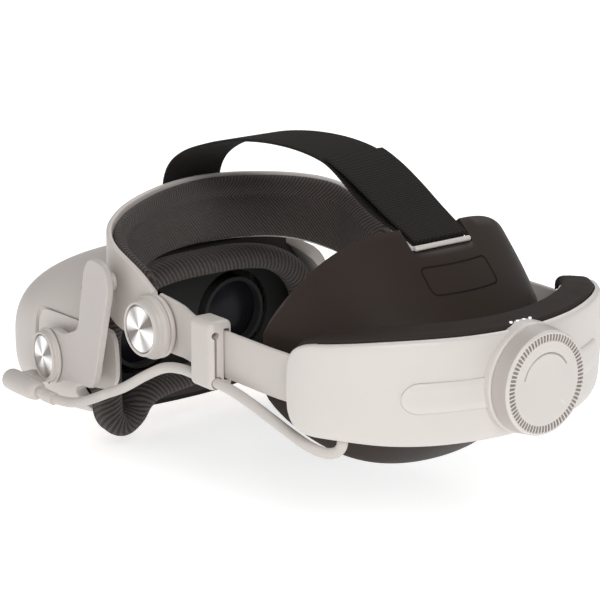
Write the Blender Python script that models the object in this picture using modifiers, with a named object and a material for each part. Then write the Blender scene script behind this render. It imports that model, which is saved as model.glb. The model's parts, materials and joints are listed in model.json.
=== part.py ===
"""A virtual-reality headset on a rigid halo head strap with a battery housing at the back.

Frame: metres, +Z up, -Y towards the visor, +X the wearer's left. The origin is the middle of the
temple pivot axis, which is the centre of the wearer's head. Helper functions take millimetres.
"""

import math

import bmesh
import bpy
from mathutils import Matrix, Vector

# ---- driving dimensions, millimetres ----
TEMPLE_X = 85.2          # outer face of the halo at the temple pivots
TEMPLE_Y = 7.0           # temple pivot axis
HALO_WALL = 3.0
PAD_GAP = 0.4
HALO_PAD = 8.0
VISOR_REAR = -76.0
HINGE_Y = -82.0          # headset tilt axis
HINGE_Z = -36.0
LENS_X = 31.5            # half of the 63 mm lens spacing
LENS_Z = -34.0
LENS_R = 18.0
STRAP_W = 38.0
STRAP_T = 1.5
HOUSING_C = 73.0         # plan centre of the rear housing arc
HOUSING_R = 115.0
DIAL_Z = 2.0
DIAL_R = 25.0
DIAL_BASE_Y = 189.0
PINION_R = 8.0
CABLE_R = 2.6

MM = 0.001

for leftover in list(bpy.data.objects):
    bpy.data.objects.remove(leftover)

PARTS = bpy.data.collections.new("vr_headset")
CUTTERS = bpy.data.collections.new("cutters")
bpy.context.scene.collection.children.link(PARTS)
bpy.context.scene.collection.children.link(CUTTERS)


def material(name, colour, roughness=0.5, metallic=0.0):
    made = bpy.data.materials.new(name)
    made.use_nodes = True
    shader = made.node_tree.nodes["Principled BSDF"]
    shader.inputs["Base Color"].default_value = (*colour, 1.0)
    shader.inputs["Roughness"].default_value = roughness
    shader.inputs["Metallic"].default_value = metallic
    return made


WHITE = material("white_plastic", (0.70, 0.66, 0.63), 0.45)
DARK = material("dark_plastic", (0.06, 0.052, 0.048), 0.5)
FABRIC = material("knit_fabric", (0.05, 0.042, 0.04), 0.9)
WEBBING = material("webbing", (0.015, 0.014, 0.013), 0.85)
METAL = material("spun_metal", (0.75, 0.74, 0.73), 0.25, 1.0)
STEEL = material("steel", (0.55, 0.55, 0.56), 0.35, 1.0)
BOARD = material("circuit_board", (0.02, 0.09, 0.04), 0.5)
CELL = material("battery_wrap", (0.10, 0.13, 0.20), 0.5)
GLASS = material("lens_plastic", (0.10, 0.10, 0.12), 0.1)
LIGHT = material("light_guide", (0.95, 0.95, 0.95), 0.3)
RUBBER = material("cable_jacket", (0.66, 0.62, 0.60), 0.55)


# ---- helpers ----
def place(obj, mat, helper):
    (CUTTERS if helper else PARTS).objects.link(obj)
    if mat is not None:
        obj.data.materials.append(mat)
    if helper:
        obj.hide_render = True
        obj.display_type = "WIRE"
    return obj


def solid(name, points, faces, mat=None, helper=False):
    """A closed mesh from points in millimetres, with its normals facing out."""
    mesh = bpy.data.meshes.new(name)
    mesh.from_pydata([Vector(p) * MM for p in points], [], faces)
    work = bmesh.new()
    work.from_mesh(mesh)
    bmesh.ops.recalc_face_normals(work, faces=work.faces)
    work.to_mesh(mesh)
    work.free()
    return place(bpy.data.objects.new(name, mesh), mat, helper)


def loft(name, rings, mat=None, helper=False, loop=False):
    """A skin over rings of points; the end rings are capped unless the rings go round in a loop."""
    count = len(rings[0])
    points = [p for ring in rings for p in ring]
    faces = []
    last = len(rings) if loop else len(rings) - 1
    for i in range(last):
        a = i * count
        b = ((i + 1) % len(rings)) * count
        for j in range(count):
            k = (j + 1) % count
            faces.append((a + j, a + k, b + k, b + j))
    if not loop:
        faces.append(tuple(range(count)))
        faces.append(tuple(range(len(points) - count, len(points))))
    return solid(name, points, faces, mat, helper)


def block(name, centre, size, mat=None, bevel=0.0, helper=False):
    """A box with softened edges."""
    work = bmesh.new()
    bmesh.ops.create_cube(work, size=1.0)
    mesh = bpy.data.meshes.new(name)
    work.to_mesh(mesh)
    work.free()
    mesh.transform(Matrix.Diagonal((*[s * MM for s in size], 1.0)))
    obj = place(bpy.data.objects.new(name, mesh), mat, helper)
    obj.location = Vector(centre) * MM
    if bevel:
        soften(obj, bevel)
    return obj


def soften(obj, width, segments=2):
    rounded = obj.modifiers.new("edge", "BEVEL")
    rounded.width = width * MM
    rounded.segments = segments
    rounded.limit_method = "ANGLE"
    rounded.angle_limit = math.radians(40)


AXES = {
    "x": Matrix.Rotation(math.radians(90), 4, "Y"),
    "-x": Matrix.Rotation(math.radians(-90), 4, "Y"),
    "y": Matrix.Rotation(math.radians(-90), 4, "X"),
    "z": Matrix.Identity(4),
}


def turned(name, profile, at, axis, mat=None, steps=24, ring=False, helper=False):
    """A turned piece: (radius, height) from the top down the outer side, about an axis through at."""
    mesh = bpy.data.meshes.new(name)
    edges = [(i, i + 1) for i in range(len(profile) - 1)]
    if ring:
        edges.append((len(profile) - 1, 0))
    mesh.from_pydata([Vector((r, 0, h)) * MM for r, h in profile], edges, [])
    obj = place(bpy.data.objects.new(name, mesh), mat, helper)
    obj.matrix_world = Matrix.Translation(Vector(at) * MM) @ AXES[axis]
    screw = obj.modifiers.new("turn", "SCREW")
    screw.steps = steps
    screw.render_steps = steps
    screw.use_merge_vertices = True
    screw.merge_threshold = 0.00005
    screw.use_normal_calculate = False
    return obj


def rod(name, radius, low, high, at, axis, mat=None, steps=24, helper=False, bevel=0.0):
    profile = [(0.0, high), (radius - bevel, high), (radius, high - bevel)]
    profile += [(radius, low + bevel), (radius - bevel, low), (0.0, low)]
    if not bevel:
        profile = [(0.0, high), (radius, high), (radius, low), (0.0, low)]
    return turned(name, profile, at, axis, mat, steps, helper=helper)


def tube(name, points, radius, mat):
    """A round cord along a route."""
    curve = bpy.data.curves.new(name, "CURVE")
    curve.dimensions = "3D"
    curve.bevel_depth = radius * MM
    curve.bevel_resolution = 2
    curve.use_fill_caps = True
    line = curve.splines.new("POLY")
    line.points.add(len(points) - 1)
    for point, place_at in zip(line.points, points):
        point.co = (*[c * MM for c in place_at], 1.0)
    return place(bpy.data.objects.new(name, curve), mat, False)


def boolean(obj, other, operation):
    step = obj.modifiers.new(operation.lower(), "BOOLEAN")
    step.operation = operation
    step.solver = "EXACT"
    step.object = other
    return obj


def cut(obj, *others):
    for other in others:
        boolean(obj, other, "DIFFERENCE")
    return obj


def join(obj, *others):
    for other in others:
        boolean(obj, other, "UNION")
    return obj


def smooth(points, steps):
    """A Catmull-Rom curve through the points, with this many steps between each two."""
    ends = [tuple(2 * a - b for a, b in zip(points[0], points[1]))]
    tail = [tuple(2 * a - b for a, b in zip(points[-1], points[-2]))]
    line = ends + list(points) + tail
    out = []
    for i in range(1, len(line) - 2):
        p0, p1, p2, p3 = (Vector(p) for p in line[i - 1 : i + 3])
        for s in range(steps):
            t = s / steps
            out.append(
                tuple(
                    0.5 * (2 * p1 + (p2 - p0) * t + (2 * p0 - 5 * p1 + 4 * p2 - p3) * t * t
                           + (3 * p1 - p0 - 3 * p2 + p3) * t ** 3)
                )
            )
    out.append(tuple(points[-1]))
    return out


def vec(values):
    return tuple(float(v) for v in values)


def smooth_rows(rows, steps):
    """The same curve through rows of any length."""
    width = len(rows[0])
    columns = []
    for c in range(0, width, 2):
        pair = [(row[c], row[c + 1] if c + 1 < width else 0.0, 0.0) for row in rows]
        columns.append(smooth(pair, steps))
    out = []
    for i in range(len(columns[0])):
        row = []
        for column in columns:
            row += [column[i][0], column[i][1]]
        out.append(tuple(row[:width]))
    return out


def mirrored(rows):
    """Rows that start at x = 0, with the same rows on the other side before them."""
    left = [(-row[0], *row[1:]) for row in reversed(rows) if row[0] > 1e-6]
    return left + list(rows)


def plate_section(thickness, r):
    """A wall section: (offset outwards, share of the height, extra height)."""
    t = thickness
    return [
        (0, 0, r), (0, 1, -r), (-r, 1, 0), (-t + r, 1, 0),
        (-t, 1, -r), (-t, 0, r), (-t + r, 0, 0), (-r, 0, 0),
    ]


def wall_rings(path, section, shift=0.0, side=1.0):
    """Rings of a wall that stands along a plan path of (x, y, top, bottom)."""
    rings = []
    for i, (x, y, top, bottom) in enumerate(path):
        before = path[max(i - 1, 0)]
        after = path[min(i + 1, len(path) - 1)]
        along = Vector((after[0] - before[0], after[1] - before[1], 0)).normalized()
        out = Vector((along.y, -along.x, 0)) * side
        ring = []
        for offset, share, lift in section:
            p = Vector((x, y, 0)) + out * (offset + shift)
            ring.append((p.x, p.y, bottom + share * (top - bottom) + lift))
        rings.append(ring)
    return rings


def other_side(rings):
    return [[(-x, y, z) for x, y, z in ring] for ring in rings]


def outline_plate(name, outline, low, high, r, mat=None, helper=False):
    """A flat plate: an outline in (y, z) between two x positions, with softened edges."""
    count = len(outline)
    inset = []
    for i, (y, z) in enumerate(outline):
        a = Vector(outline[i - 1])
        b = Vector(outline[(i + 1) % count])
        along = (b - a).normalized()
        inset.append((y - along.y * r, z + along.x * r))
    rings = [
        [(low, y, z) for y, z in inset],
        [(low + r, y, z) for y, z in outline],
        [(high - r, y, z) for y, z in outline],
        [(high, y, z) for y, z in inset],
    ]
    return loft(name, rings, mat, helper)


# ---- halo ----
HALO_PATH = [
    (0.0, -72.0, 52.0, 14.0),
    (18.0, -69.8, 51.7, 14.0),
    (34.0, -65.7, 50.8, 13.5),
    (48.0, -60.5, 49.5, 12.0),
    (60.0, -55.0, 47.8, 9.0),
    (70.0, -49.3, 45.5, 5.0),
    (78.4, -43.0, 42.0, 0.5),
    (83.4, -35.5, 38.0, -4.0),
    (85.3, -27.0, 34.2, -7.0),
    (85.3, -17.0, 30.2, -9.5),
    (85.2, -5.0, 25.4, -12.0),
    (85.2, 7.5, 18.5, -14.5),
]


def side_name(side):
    return "left" if side > 0 else "right"


def build_halo():
    path = smooth_rows(mirrored(HALO_PATH), 2)
    shell = loft("halo_shell", wall_rings(path, plate_section(HALO_WALL, 0.9), side=1.0), WHITE)
    for side in (1, -1):
        boss = rod(f"halo_boss_{side_name(side)}", 16.5, -2.9, -0.1, (side * TEMPLE_X, TEMPLE_Y, 0),
                   "x" if side > 0 else "-x", helper=True, steps=32)
        bore = rod(f"halo_bore_{side_name(side)}", 3.4, -8, 8, (side * TEMPLE_X, TEMPLE_Y, 0), "x", helper=True)
        join(shell, boss)
        cut(shell, bore)
    inner = [row for row in path if row[1] < -14.0]
    section = [(0, 0, 3), (0, 0.5, 0), (0, 1, -3), (-2.5, 1, 0), (-HALO_PAD + 2.5, 1, -0.5),
               (-HALO_PAD, 1, -5), (-HALO_PAD - 0.8, 0.5, 0), (-HALO_PAD, 0, 5),
               (-HALO_PAD + 2.5, 0, 0.5), (-2.5, 0, 0)]
    rows = [(x, y, top - 1.5, bottom + 2.0) for x, y, top, bottom in inner]
    loft("halo_pad", wall_rings(rows, section, shift=-HALO_WALL - PAD_GAP), FABRIC)


def cap_profile(radius):
    """A spun-metal cap: a very shallow cone with a small centre dimple."""
    return [(0.0, 1.6), (radius * 0.5, 1.5), (radius - 1.2, 1.3), (radius, 0.7), (radius, 0.0), (0.0, 0.0)]


def bezel_profile(radius, cap, bore, height):
    """A stepped round bezel with a seat for its cap."""
    return [
        (cap + 0.3, height), (cap + 1.4, height), (cap + 1.9, height - 0.7), (radius - 1.6, height * 0.55),
        (radius - 1.1, height * 0.35), (radius, height * 0.25), (radius, 0.0), (bore, 0.0),
        (bore, height - 2.0), (cap + 0.3, height - 2.0),
    ]


def build_temples():
    for side in (1, -1):
        name = side_name(side)
        axis = "x" if side > 0 else "-x"
        at = (side * TEMPLE_X, TEMPLE_Y, 0)
        bezel = [(r, h + 0.3) for r, h in bezel_profile(16.4, 12.3, 3.4, 8.2)]
        turned(f"temple_bezel_{name}", bezel, at, axis, WHITE, 28, ring=True)
        cap = [(r, h + 6.8) for r, h in cap_profile(12.3)]
        turned(f"temple_cap_{name}", cap, at, axis, METAL, 28)
        pin = [(0.0, 6.4), (3.0, 6.4), (3.0, -6.3), (6.0, -6.3), (6.0, -8.0), (5.4, -8.6), (0.0, -8.6)]
        turned(f"temple_pin_{name}", pin, at, axis, STEEL, 20)


PLATE_OUTLINE = [
    (-24.0, 29.0), (-30.0, 29.0), (-35.5, 26.5), (-39.5, 21.5), (-41.5, 15.0), (-48.0, -9.0),
    (-50.5, -13.0), (-55.0, -15.5), (-66.0, -19.5), (-76.0, -20.0), (-85.0, -21.5),
    (-93.0, -26.5), (-96.5, -36.0), (-93.0, -45.5), (-85.0, -50.5), (-76.0, -50.0), (-66.0, -46.0),
    (-52.0, -43.5), (-36.0, -41.5), (-31.5, -38.5), (-29.0, -33.0), (-13.0, 13.0), (-12.5, 18.0),
    (-14.5, 24.0), (-18.5, 28.0),
]
PLATE_TILT = math.radians(7.5)


def build_brackets():
    """The side plates that carry the visor's tilt hinges; each leans in towards the front."""
    for side in (1, -1):
        name = side_name(side)
        plate = outline_plate(f"bracket_plate_{name}", PLATE_OUTLINE, -2.0, 2.0, 0.8, WHITE)
        boss = rod(f"bracket_boss_{name}", 5.0, -8.2, -1.0, (0, -26, 17), "x", helper=True)
        lean = Matrix.Rotation(-PLATE_TILT, 4, "Z")
        swing = Matrix.Translation(Vector((96.2, -20.0, 0)) * MM) @ lean
        swing = swing @ Matrix.Translation(Vector((0, 20.0, 0)) * MM)
        flip = Matrix.Diagonal((side, 1.0, 1.0, 1.0))
        plate.data.transform(flip @ swing)
        if side < 0:
            plate.data.flip_normals()
        boss.matrix_world = flip @ swing @ boss.matrix_world
        join(plate, boss)
        bore = rod(f"bracket_bore_{name}", 3.3, -14, 14, (side * 86.0, HINGE_Y, HINGE_Z), "x", helper=True)
        cut(plate, bore)
        centre = swing @ (Vector((2.3, HINGE_Y - 1.6, HINGE_Z)) * MM)
        frame = flip @ Matrix.Translation(centre) @ lean @ AXES["x"]
        bezel = turned(f"hinge_bezel_{name}", bezel_profile(15.0, 11.6, 4.4, 4.6), (0, 0, 0), "x", WHITE, 28,
                       ring=True)
        bezel.matrix_world = frame
        cap = turned(f"hinge_cap_{name}", [(r, h + 2.9) for r, h in cap_profile(11.6)], (0, 0, 0), "x", METAL, 28)
        cap.matrix_world = frame
        pin = [(0.0, 4.2), (2.8, 4.2), (2.8, -4.6), (5.6, -4.6), (5.6, -6.2), (0.0, -6.2)]
        turned(f"hinge_pin_{name}", pin, (side * 84.6, HINGE_Y, HINGE_Z), "x" if side > 0 else "-x", STEEL, 20)


# ---- visor ----
RING_POINTS = 32


def oval(y, half, top, bottom, power):
    """A ring of a rounded-rectangle section in the XZ plane."""
    ring = []
    mid = 0.5 * (top + bottom)
    high = 0.5 * (top - bottom)
    for i in range(RING_POINTS):
        a = 2 * math.pi * (i + 0.5) / RING_POINTS
        c, s = math.cos(a), math.sin(a)
        reach = (abs(c) ** power + abs(s) ** power) ** (-1.0 / power)
        ring.append((half * c * reach, y, mid + high * s * reach))
    return ring


VISOR_OUTER = [
    (-151.0, 30.0, -30.0, -60.0, 2.6),
    (-150.2, 52.0, -17.0, -71.0, 2.6),
    (-147.0, 69.0, -6.5, -79.0, 2.7),
    (-141.0, 76.8, -1.0, -83.0, 2.8),
    (-132.0, 81.2, 3.4, -85.0, 2.9),
    (-118.0, 83.6, 8.4, -85.6, 3.0),
    (-100.0, 84.0, 13.2, -84.6, 3.0),
    (-86.0, 83.6, 16.0, -83.0, 3.0),
    (VISOR_REAR, 83.2, 17.2, -81.6, 3.0),
]
VISOR_INNER = [
    (VISOR_REAR, 76.5, 14.7, -79.0, 3.0),
    (-100.0, 76.6, 10.7, -82.0, 3.0),
    (-118.0, 76.2, 6.3, -82.8, 3.0),
    (-131.0, 73.6, 1.2, -82.0, 2.9),
    (-139.5, 68.2, -3.8, -79.8, 2.8),
    (-145.0, 60.6, -10.5, -75.4, 2.7),
    (-148.0, 46.0, -21.0, -67.4, 2.6),
]
CAMERAS = [
    ("upper_left", 59.0, -17.0), ("upper_right", -59.0, -17.0),
    ("lower_left", 64.0, -65.0), ("lower_right", -64.0, -65.0),
]


def build_visor_shell():
    rings = [oval(*row) for row in VISOR_OUTER] + [oval(*row) for row in VISOR_INNER]
    shell = loft("headset_front_shell", rings, WHITE)
    for side in (1, -1):
        name = side_name(side)
        recess = block(f"side_recess_{name}", (side * 90.4, -80.0, -32.0), (20.0, 56.0, 37.0), helper=True)
        bore = rod(f"side_bore_{name}", 6.2, -12, 12, (side * 80.0, HINGE_Y, HINGE_Z), "x", helper=True)
        cut(shell, recess, bore)
    for label, x, z in CAMERAS:
        window = rod(f"window_{label}", 5.2, -30, 12, (x, -140.0, z), "y", helper=True)
        cut(shell, window)
    port = block("port_opening", (82.0, -104.0, -56.0), (28.0, 10.6, 4.6), helper=True)
    power = rod("power_opening", 3.9, -14, 14, (-82.0, -122.0, -30.0), "x", helper=True)
    volume = block("volume_opening", (-24.0, -118.0, -82.0), (22.8, 5.8, 16.0), helper=True)
    cut(shell, port, power, volume)
    for label, x, z in CAMERAS:
        body = [(0.0, 6.0), (4.8, 6.0), (4.8, -6.0), (3.4, -6.0), (2.6, -5.2), (0.0, -4.8)]
        y = -137.5 if z > -20 else -136.5
        turned(f"tracking_camera_{label}", body, (x, y, z), "y", DARK, 20)


def build_visor_inside():
    ring = oval(-86.0, 75.4, 12.8, -79.2, 3.0)
    back = oval(-83.4, 75.4, 12.6, -78.6, 3.0)
    frame = loft("lens_frame", [ring, back], DARK)
    for side in (1, -1):
        name = side_name(side)
        hole = rod(f"lens_hole_{name}", 24.6, -9, 9, (side * LENS_X, -85.0, LENS_Z), "y", helper=True, steps=28)
        cut(frame, hole)
        barrel = [(LENS_R + 0.4, 4.0), (20.6, 4.0), (20.6, -32.0), (LENS_R + 0.4, -32.0)]
        tube_body = turned(f"lens_barrel_{name}", barrel, (side * LENS_X, -86.0, LENS_Z), "y", DARK, 28, ring=True)
        lug = block(f"lens_lug_{name}", (side * LENS_X, -108.0, LENS_Z - 23.6), (12.0, 8.0, 9.0), helper=True)
        slide = rod(f"lens_slide_{name}", 1.9, -30, 30, (side * LENS_X, -108.0, LENS_Z - 24.6), "x", helper=True)
        join(tube_body, lug)
        cut(tube_body, slide)
        lens = [(0.0, 2.2), (7.0, 1.9), (13.0, 0.9), (LENS_R, -1.0), (LENS_R, -2.6), (11.0, -4.6), (0.0, -5.4)]
        turned(f"lens_{name}", lens, (side * LENS_X, -86.0, LENS_Z), "y", GLASS, 28)
    rod("ipd_rail", 1.5, -66, 66, (0, -108.0, LENS_Z - 24.6), "x", STEEL, steps=12)
    block("display_panel", (0, -122.5, -36.0), (120.0, 2.0, 58.0), DARK, 0.4)
    block("main_board", (0, -137.0, -40.0), (96.0, 1.6, 48.0), BOARD)
    block("headset_battery", (-26.0, -129.8, -38.0), (48.0, 6.0, 36.0), CELL, 1.0)
    fan = rod("cooling_fan", 15.0, -3.0, 3.0, (30.0, -129.8, -38.0), "y", DARK, steps=24)
    cut(fan, rod("fan_eye", 9.0, -10.0, -1.0, (30.0, -129.8, -38.0), "y", helper=True))
    block("usb_port", (77.4, -104.0, -56.0), (12.0, 9.0, 3.4), STEEL, 0.5)
    button = [(0.0, 5.0), (2.8, 5.0), (3.5, 4.4), (3.5, -3.0), (0.0, -3.0)]
    turned("power_button", button, (-80.2, -122.0, -30.0), "-x", WHITE, 20)
    block("volume_rocker", (-24.0, -118.0, -83.6), (22.0, 5.0, 5.6), WHITE, 0.8)


ARM_OUTLINE = [
    (-33.5, -16.0), (-31.5, -21.0), (-31.0, -34.0), (-33.0, -40.5), (-39.0, -44.5), (-60.0, -47.5),
    (-95.0, -48.5), (-101.0, -46.0), (-104.0, -40.0), (-104.0, -24.0), (-101.0, -18.5), (-95.0, -15.5),
    (-60.0, -14.5), (-38.0, -13.5),
]


def build_headset_arms():
    """The visor's own side arms, which sit in its side recesses and carry the tilt pins."""
    for side in (1, -1):
        name = side_name(side)
        arm = outline_plate(f"headset_arm_{name}", ARM_OUTLINE, 80.8, 83.4, 0.6, WHITE)
        if side < 0:
            arm.data.transform(Matrix.Diagonal((-1.0, 1.0, 1.0, 1.0)))
            arm.data.flip_normals()
        bore = rod(f"arm_bore_{name}", 3.2, -12, 12, (side * 82.0, HINGE_Y, HINGE_Z), "x", helper=True)
        cut(arm, bore)


PAD_PATH = [
    (0.0, -66.5, 4.0), (24.0, -66.3, 3.4), (44.0, -65.6, -0.5), (58.0, -64.6, -9.5), (66.5, -63.8, -23.0),
    (67.5, -63.4, -40.0), (67.5, -63.4, -58.0), (66.5, -63.4, -69.5), (60.0, -63.8, -75.0),
    (51.0, -64.4, -72.5), (43.0, -65.0, -66.5), (32.0, -65.6, -62.0), (17.0, -66.2, -59.5),
    (0.0, -66.5, -58.5),
]


def loop_of(rows, steps):
    """A closed loop, smooth through the rows and their mirror images."""
    left = [(-row[0], *row[1:]) for row in reversed(rows[1:-1])]
    ring = list(rows) + left
    padded = ring[-2:] + ring + ring[:2]
    return smooth(padded, steps)[2 * steps : (len(ring) + 2) * steps]


def pad_rings(half, front, rear):
    """Rounded sections of the face pad around its loop."""
    loop = loop_of(PAD_PATH, 2)
    rings = []
    for i, p in enumerate(loop):
        a, b = loop[i - 1], loop[(i + 1) % len(loop)]
        along = Vector((b[0] - a[0], 0, b[2] - a[2])).normalized()
        out = Vector((-along.z, 0, along.x))
        section = [
            (half - 2.5, -front), (half, -front + 3), (half, rear - 4), (half - 3.0, rear),
            (-half + 3.0, rear), (-half, rear - 4), (-half, -front + 3), (-half + 2.5, -front),
        ]
        rings.append([vec(Vector((p[0], p[1] + dy, p[2])) + out * off) for off, dy in section])
    return rings


def build_face():
    loft("face_pad", pad_rings(6.5, 7.5, 9.0), FABRIC, loop=True)
    loop = loop_of(PAD_PATH, 2)
    rings = []
    for i, p in enumerate(loop):
        a, b = loop[i - 1], loop[(i + 1) % len(loop)]
        along = Vector((b[0] - a[0], 0, b[2] - a[2])).normalized()
        out = Vector((-along.z, 0, along.x))
        angle = math.atan2((p[2] + 26.5) / 47.5, p[0] / 80.0)
        c, s = math.cos(angle), math.sin(angle)
        reach = (abs(c) ** 3 + abs(s) ** 3) ** (-1.0 / 3.0)
        front = Vector((80.0 * c * reach, VISOR_REAR + 0.4, min(-26.5 + 46.5 * s * reach, 10.5)))
        inward = (Vector((0, VISOR_REAR + 0.4, -26.5)) - front).normalized() * 3.0
        rear = Vector((p[0], p[1] - 7.9, p[2]))
        rings.append([vec(front), vec(rear + out * 4.2), vec(rear + out * 1.2), vec(front + inward)])
    loft("face_spacer", rings, DARK, loop=True)


# ---- rear arms and the cable clip ----
ARM_PATH = [
    (81.6, 8.0, 12.5, -12.5), (81.6, 24.5, 16.0, -12.2), (84.6, 36.0, 15.0, -11.2), (87.6, 47.0, 14.2, -10.4),
    (89.0, 56.0, 14.0, -10.0), (89.0, 75.0, 14.0, -10.0), (89.0, 105.0, 14.0, -10.0), (88.2, 121.0, 13.8, -9.8),
    (87.6, 131.0, 13.5, -9.5), (87.6, 140.0, 13.5, -9.5),
]


def build_arms():
    for side in (1, -1):
        name = side_name(side)
        rings = wall_rings(smooth_rows(ARM_PATH, 2), plate_section(2.6, 0.7), side=1.0)
        if side < 0:
            rings = other_side(rings)
        arm = loft(f"arm_{name}", rings, WHITE)
        pivot, outwards = (side * TEMPLE_X, TEMPLE_Y, 0), "x" if side > 0 else "-x"
        disc = rod(f"arm_disc_{name}", 13.5, -6.1, -3.7, pivot, outwards, helper=True, steps=32)
        bore = rod(f"arm_pin_bore_{name}", 3.4, -12, 8, pivot, outwards, helper=True)
        join(arm, disc)
        cut(arm, bore)


def build_clip():
    body = block("cable_clip", (90.4, 63.5, 1.6), (13.4, 18.0, 34.0), WHITE, 1.6)
    slot = block("clip_strap_slot", (87.7, 63.5, 2.0), (3.4, 60.0, 25.6), helper=True)
    channel = rod("clip_cable_bore", 3.0, -40, 40, (93.2, 63.5, -11.6), "y", helper=True, steps=16)
    tip = rod("clip_slot_top", 2.0, -40, 40, (94.0, 63.5, 12.0), "y", helper=True, steps=16)
    mouth = block("clip_cable_mouth", (94.0, 63.5, 0.0), (1.2, 60.0, 24.0), helper=True)
    cut(body, slot, channel, tip, mouth)


# ---- cable ----
CABLE_PLUG = [
    (101.2, -76.6, -53.0), (100.6, -66.0, -53.6), (98.0, -52.0, -53.0), (96.5, -38.0, -48.5), (95.0, -22.0, -41.0),
    (94.4, -6.0, -33.5), (93.8, 12.0, -23.0), (93.4, 28.0, -15.0), (93.2, 42.0, -11.9), (93.2, 56.0, -11.6),
    (93.2, 72.0, -11.6), (93.0, 84.0, -12.4), (92.2, 98.0, -15.4), (90.6, 112.0, -19.8), (88.6, 124.0, -24.2),
    (86.2, 134.0, -27.8), (84.0, 141.5, -29.6), (82.0, 147.0, -28.4), (80.8, 150.0, -24.6), (80.5, 150.6, -18.0),
]


def build_cable():
    route = list(CABLE_PLUG)
    tube("usb_cable", route, CABLE_R, RUBBER)
    rod("usb_plug", 5.8, 0.0, 31.0, (101.2, -108.0, -53.0), "y", WHITE, steps=24, bevel=2.0)
    neck = block("usb_plug_neck", (92.8, -103.0, -54.0), (15.0, 9.0, 7.6), helper=True)
    tongue = block("usb_plug_tongue", (85.6, -103.8, -56.0), (4.0, 8.0, 2.4), helper=True)
    plug = bpy.data.objects["usb_plug"]
    join(plug, neck, tongue)


# ---- rear housing ----
HOUSING_PATH = [
    (0.0, 188.0, 26.0, -25.0), (12.0, 187.4, 26.0, -25.0), (24.0, 185.4, 26.0, -25.0), (36.0, 182.2, 26.0, -25.0),
    (48.0, 177.4, 26.0, -25.0), (60.0, 171.0, 25.8, -24.6), (70.0, 164.2, 25.4, -23.8), (79.0, 156.4, 24.6, -22.6),
    (86.5, 147.4, 23.4, -21.4), (90.6, 141.2, 22.6, -20.6), (92.6, 136.8, 21.4, -19.4), (93.8, 132.8, 18.8, -16.8),
    (94.3, 130.0, 15.0, -13.0), (94.5, 128.2, 10.0, -8.0),
]


def pill_stations(reach, radius):
    """Positions along the housing for the raised tongue, closer together at its round ends."""
    ends = [reach - radius * (1.0 - math.cos(math.radians(a))) for a in (12, 35, 55, 72, 90)]
    middle = [reach - radius - 7.0 * k for k in range(1, 7)]
    right = [x for x in ends + middle if x > 0.0]
    return sorted([-x for x in right] + right)


def build_housing():
    path = smooth_rows(mirrored(HOUSING_PATH), 2)
    depth = 19.0
    outer = [(-1.2, 0, 1.2), (0.0, 0, 5.0), (0.6, 0.5, 0), (0.0, 1, -4.0), (-1.0, 1, 0), (-3.0, 1, 0.2),
             (-depth, 1, 0.2), (-depth, 0.5, 0), (-depth, 0, 3.0), (-depth + 3.0, 0, 0), (-5.0, 0, 0)]
    body_rings = wall_rings(path, outer, side=-1.0)
    for ring, row in zip(body_rings, path):
        near_end = max(0.0, (abs(row[0]) - 80.0) / 15.2)
        keep = 1.0 - 0.35 * near_end
        edge = Vector((ring[2][0], ring[2][1], 0))
        for j in range(len(ring)):
            p = Vector((ring[j][0], ring[j][1], 0))
            p = edge + (p - edge) * keep
            ring[j] = (p.x, p.y, ring[j][2])
    shell = loft("rear_housing_shell", body_rings, WHITE)
    inner = [(-3.2, 0, 2.6), (-2.4, 0.5, 0), (-3.2, 1, 8.0), (-depth - 3.0, 1, 8.0), (-depth - 3.0, 0, 2.6)]
    cavity_rows = [row for row in path if abs(row[0]) < 90.0]
    cavity = loft("housing_cavity", wall_rings(cavity_rows, inner, side=-1.0), None, True)
    dial_bore = rod("dial_bore", 5.4, -30, 30, (0, 185.0, DIAL_Z), "y", helper=True)
    cable_bore = rod("cable_bore", 3.2, -14, 10, (80.5, 150.6, -21.0), "z", helper=True, steps=16)
    tongue_rows = []
    for x in pill_stations(62.0, 10.0):
        y = HOUSING_C + math.sqrt(HOUSING_R ** 2 - x * x)
        reach = min(1.0, (62.0 - abs(x)) / 10.0)
        half = 10.0 * math.sqrt(max(0.03, reach * (2.0 - reach)))
        tongue_rows.append((x, y, DIAL_Z - 1.0 + half, DIAL_Z - 1.0 - half))
    band = [(-1.5, 0, 0), (1.0, 0, 0), (1.5, 0, 0.8), (1.5, 1, -0.8), (1.0, 1, 0), (-1.5, 1, 0)]
    tongue = loft("pill_tongue", wall_rings(tongue_rows, band, side=-1.0), None, True)
    boss = turned("dial_boss", [(0.0, 3.4), (25.8, 3.4), (26.6, 2.6), (26.6, -9.0), (0.0, -9.0)],
                  (0, 187.0, DIAL_Z), "y", helper=True, steps=48)
    join(shell, tongue, boss)
    cut(shell, cavity, dial_bore, cable_bore)
    for side in (1, -1):
        name = side_name(side)
        mouth = block(f"arm_mouth_{name}", (side * 86.9, 121.0, 2.0), (5.0, 24.0, 26.0), helper=True)
        inner_slot = block(f"arm_slot_{name}", (side * 86.2, 131.0, 2.0), (3.9, 22.0, 26.0), helper=True)
        cut(shell, mouth, inner_slot)


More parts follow.
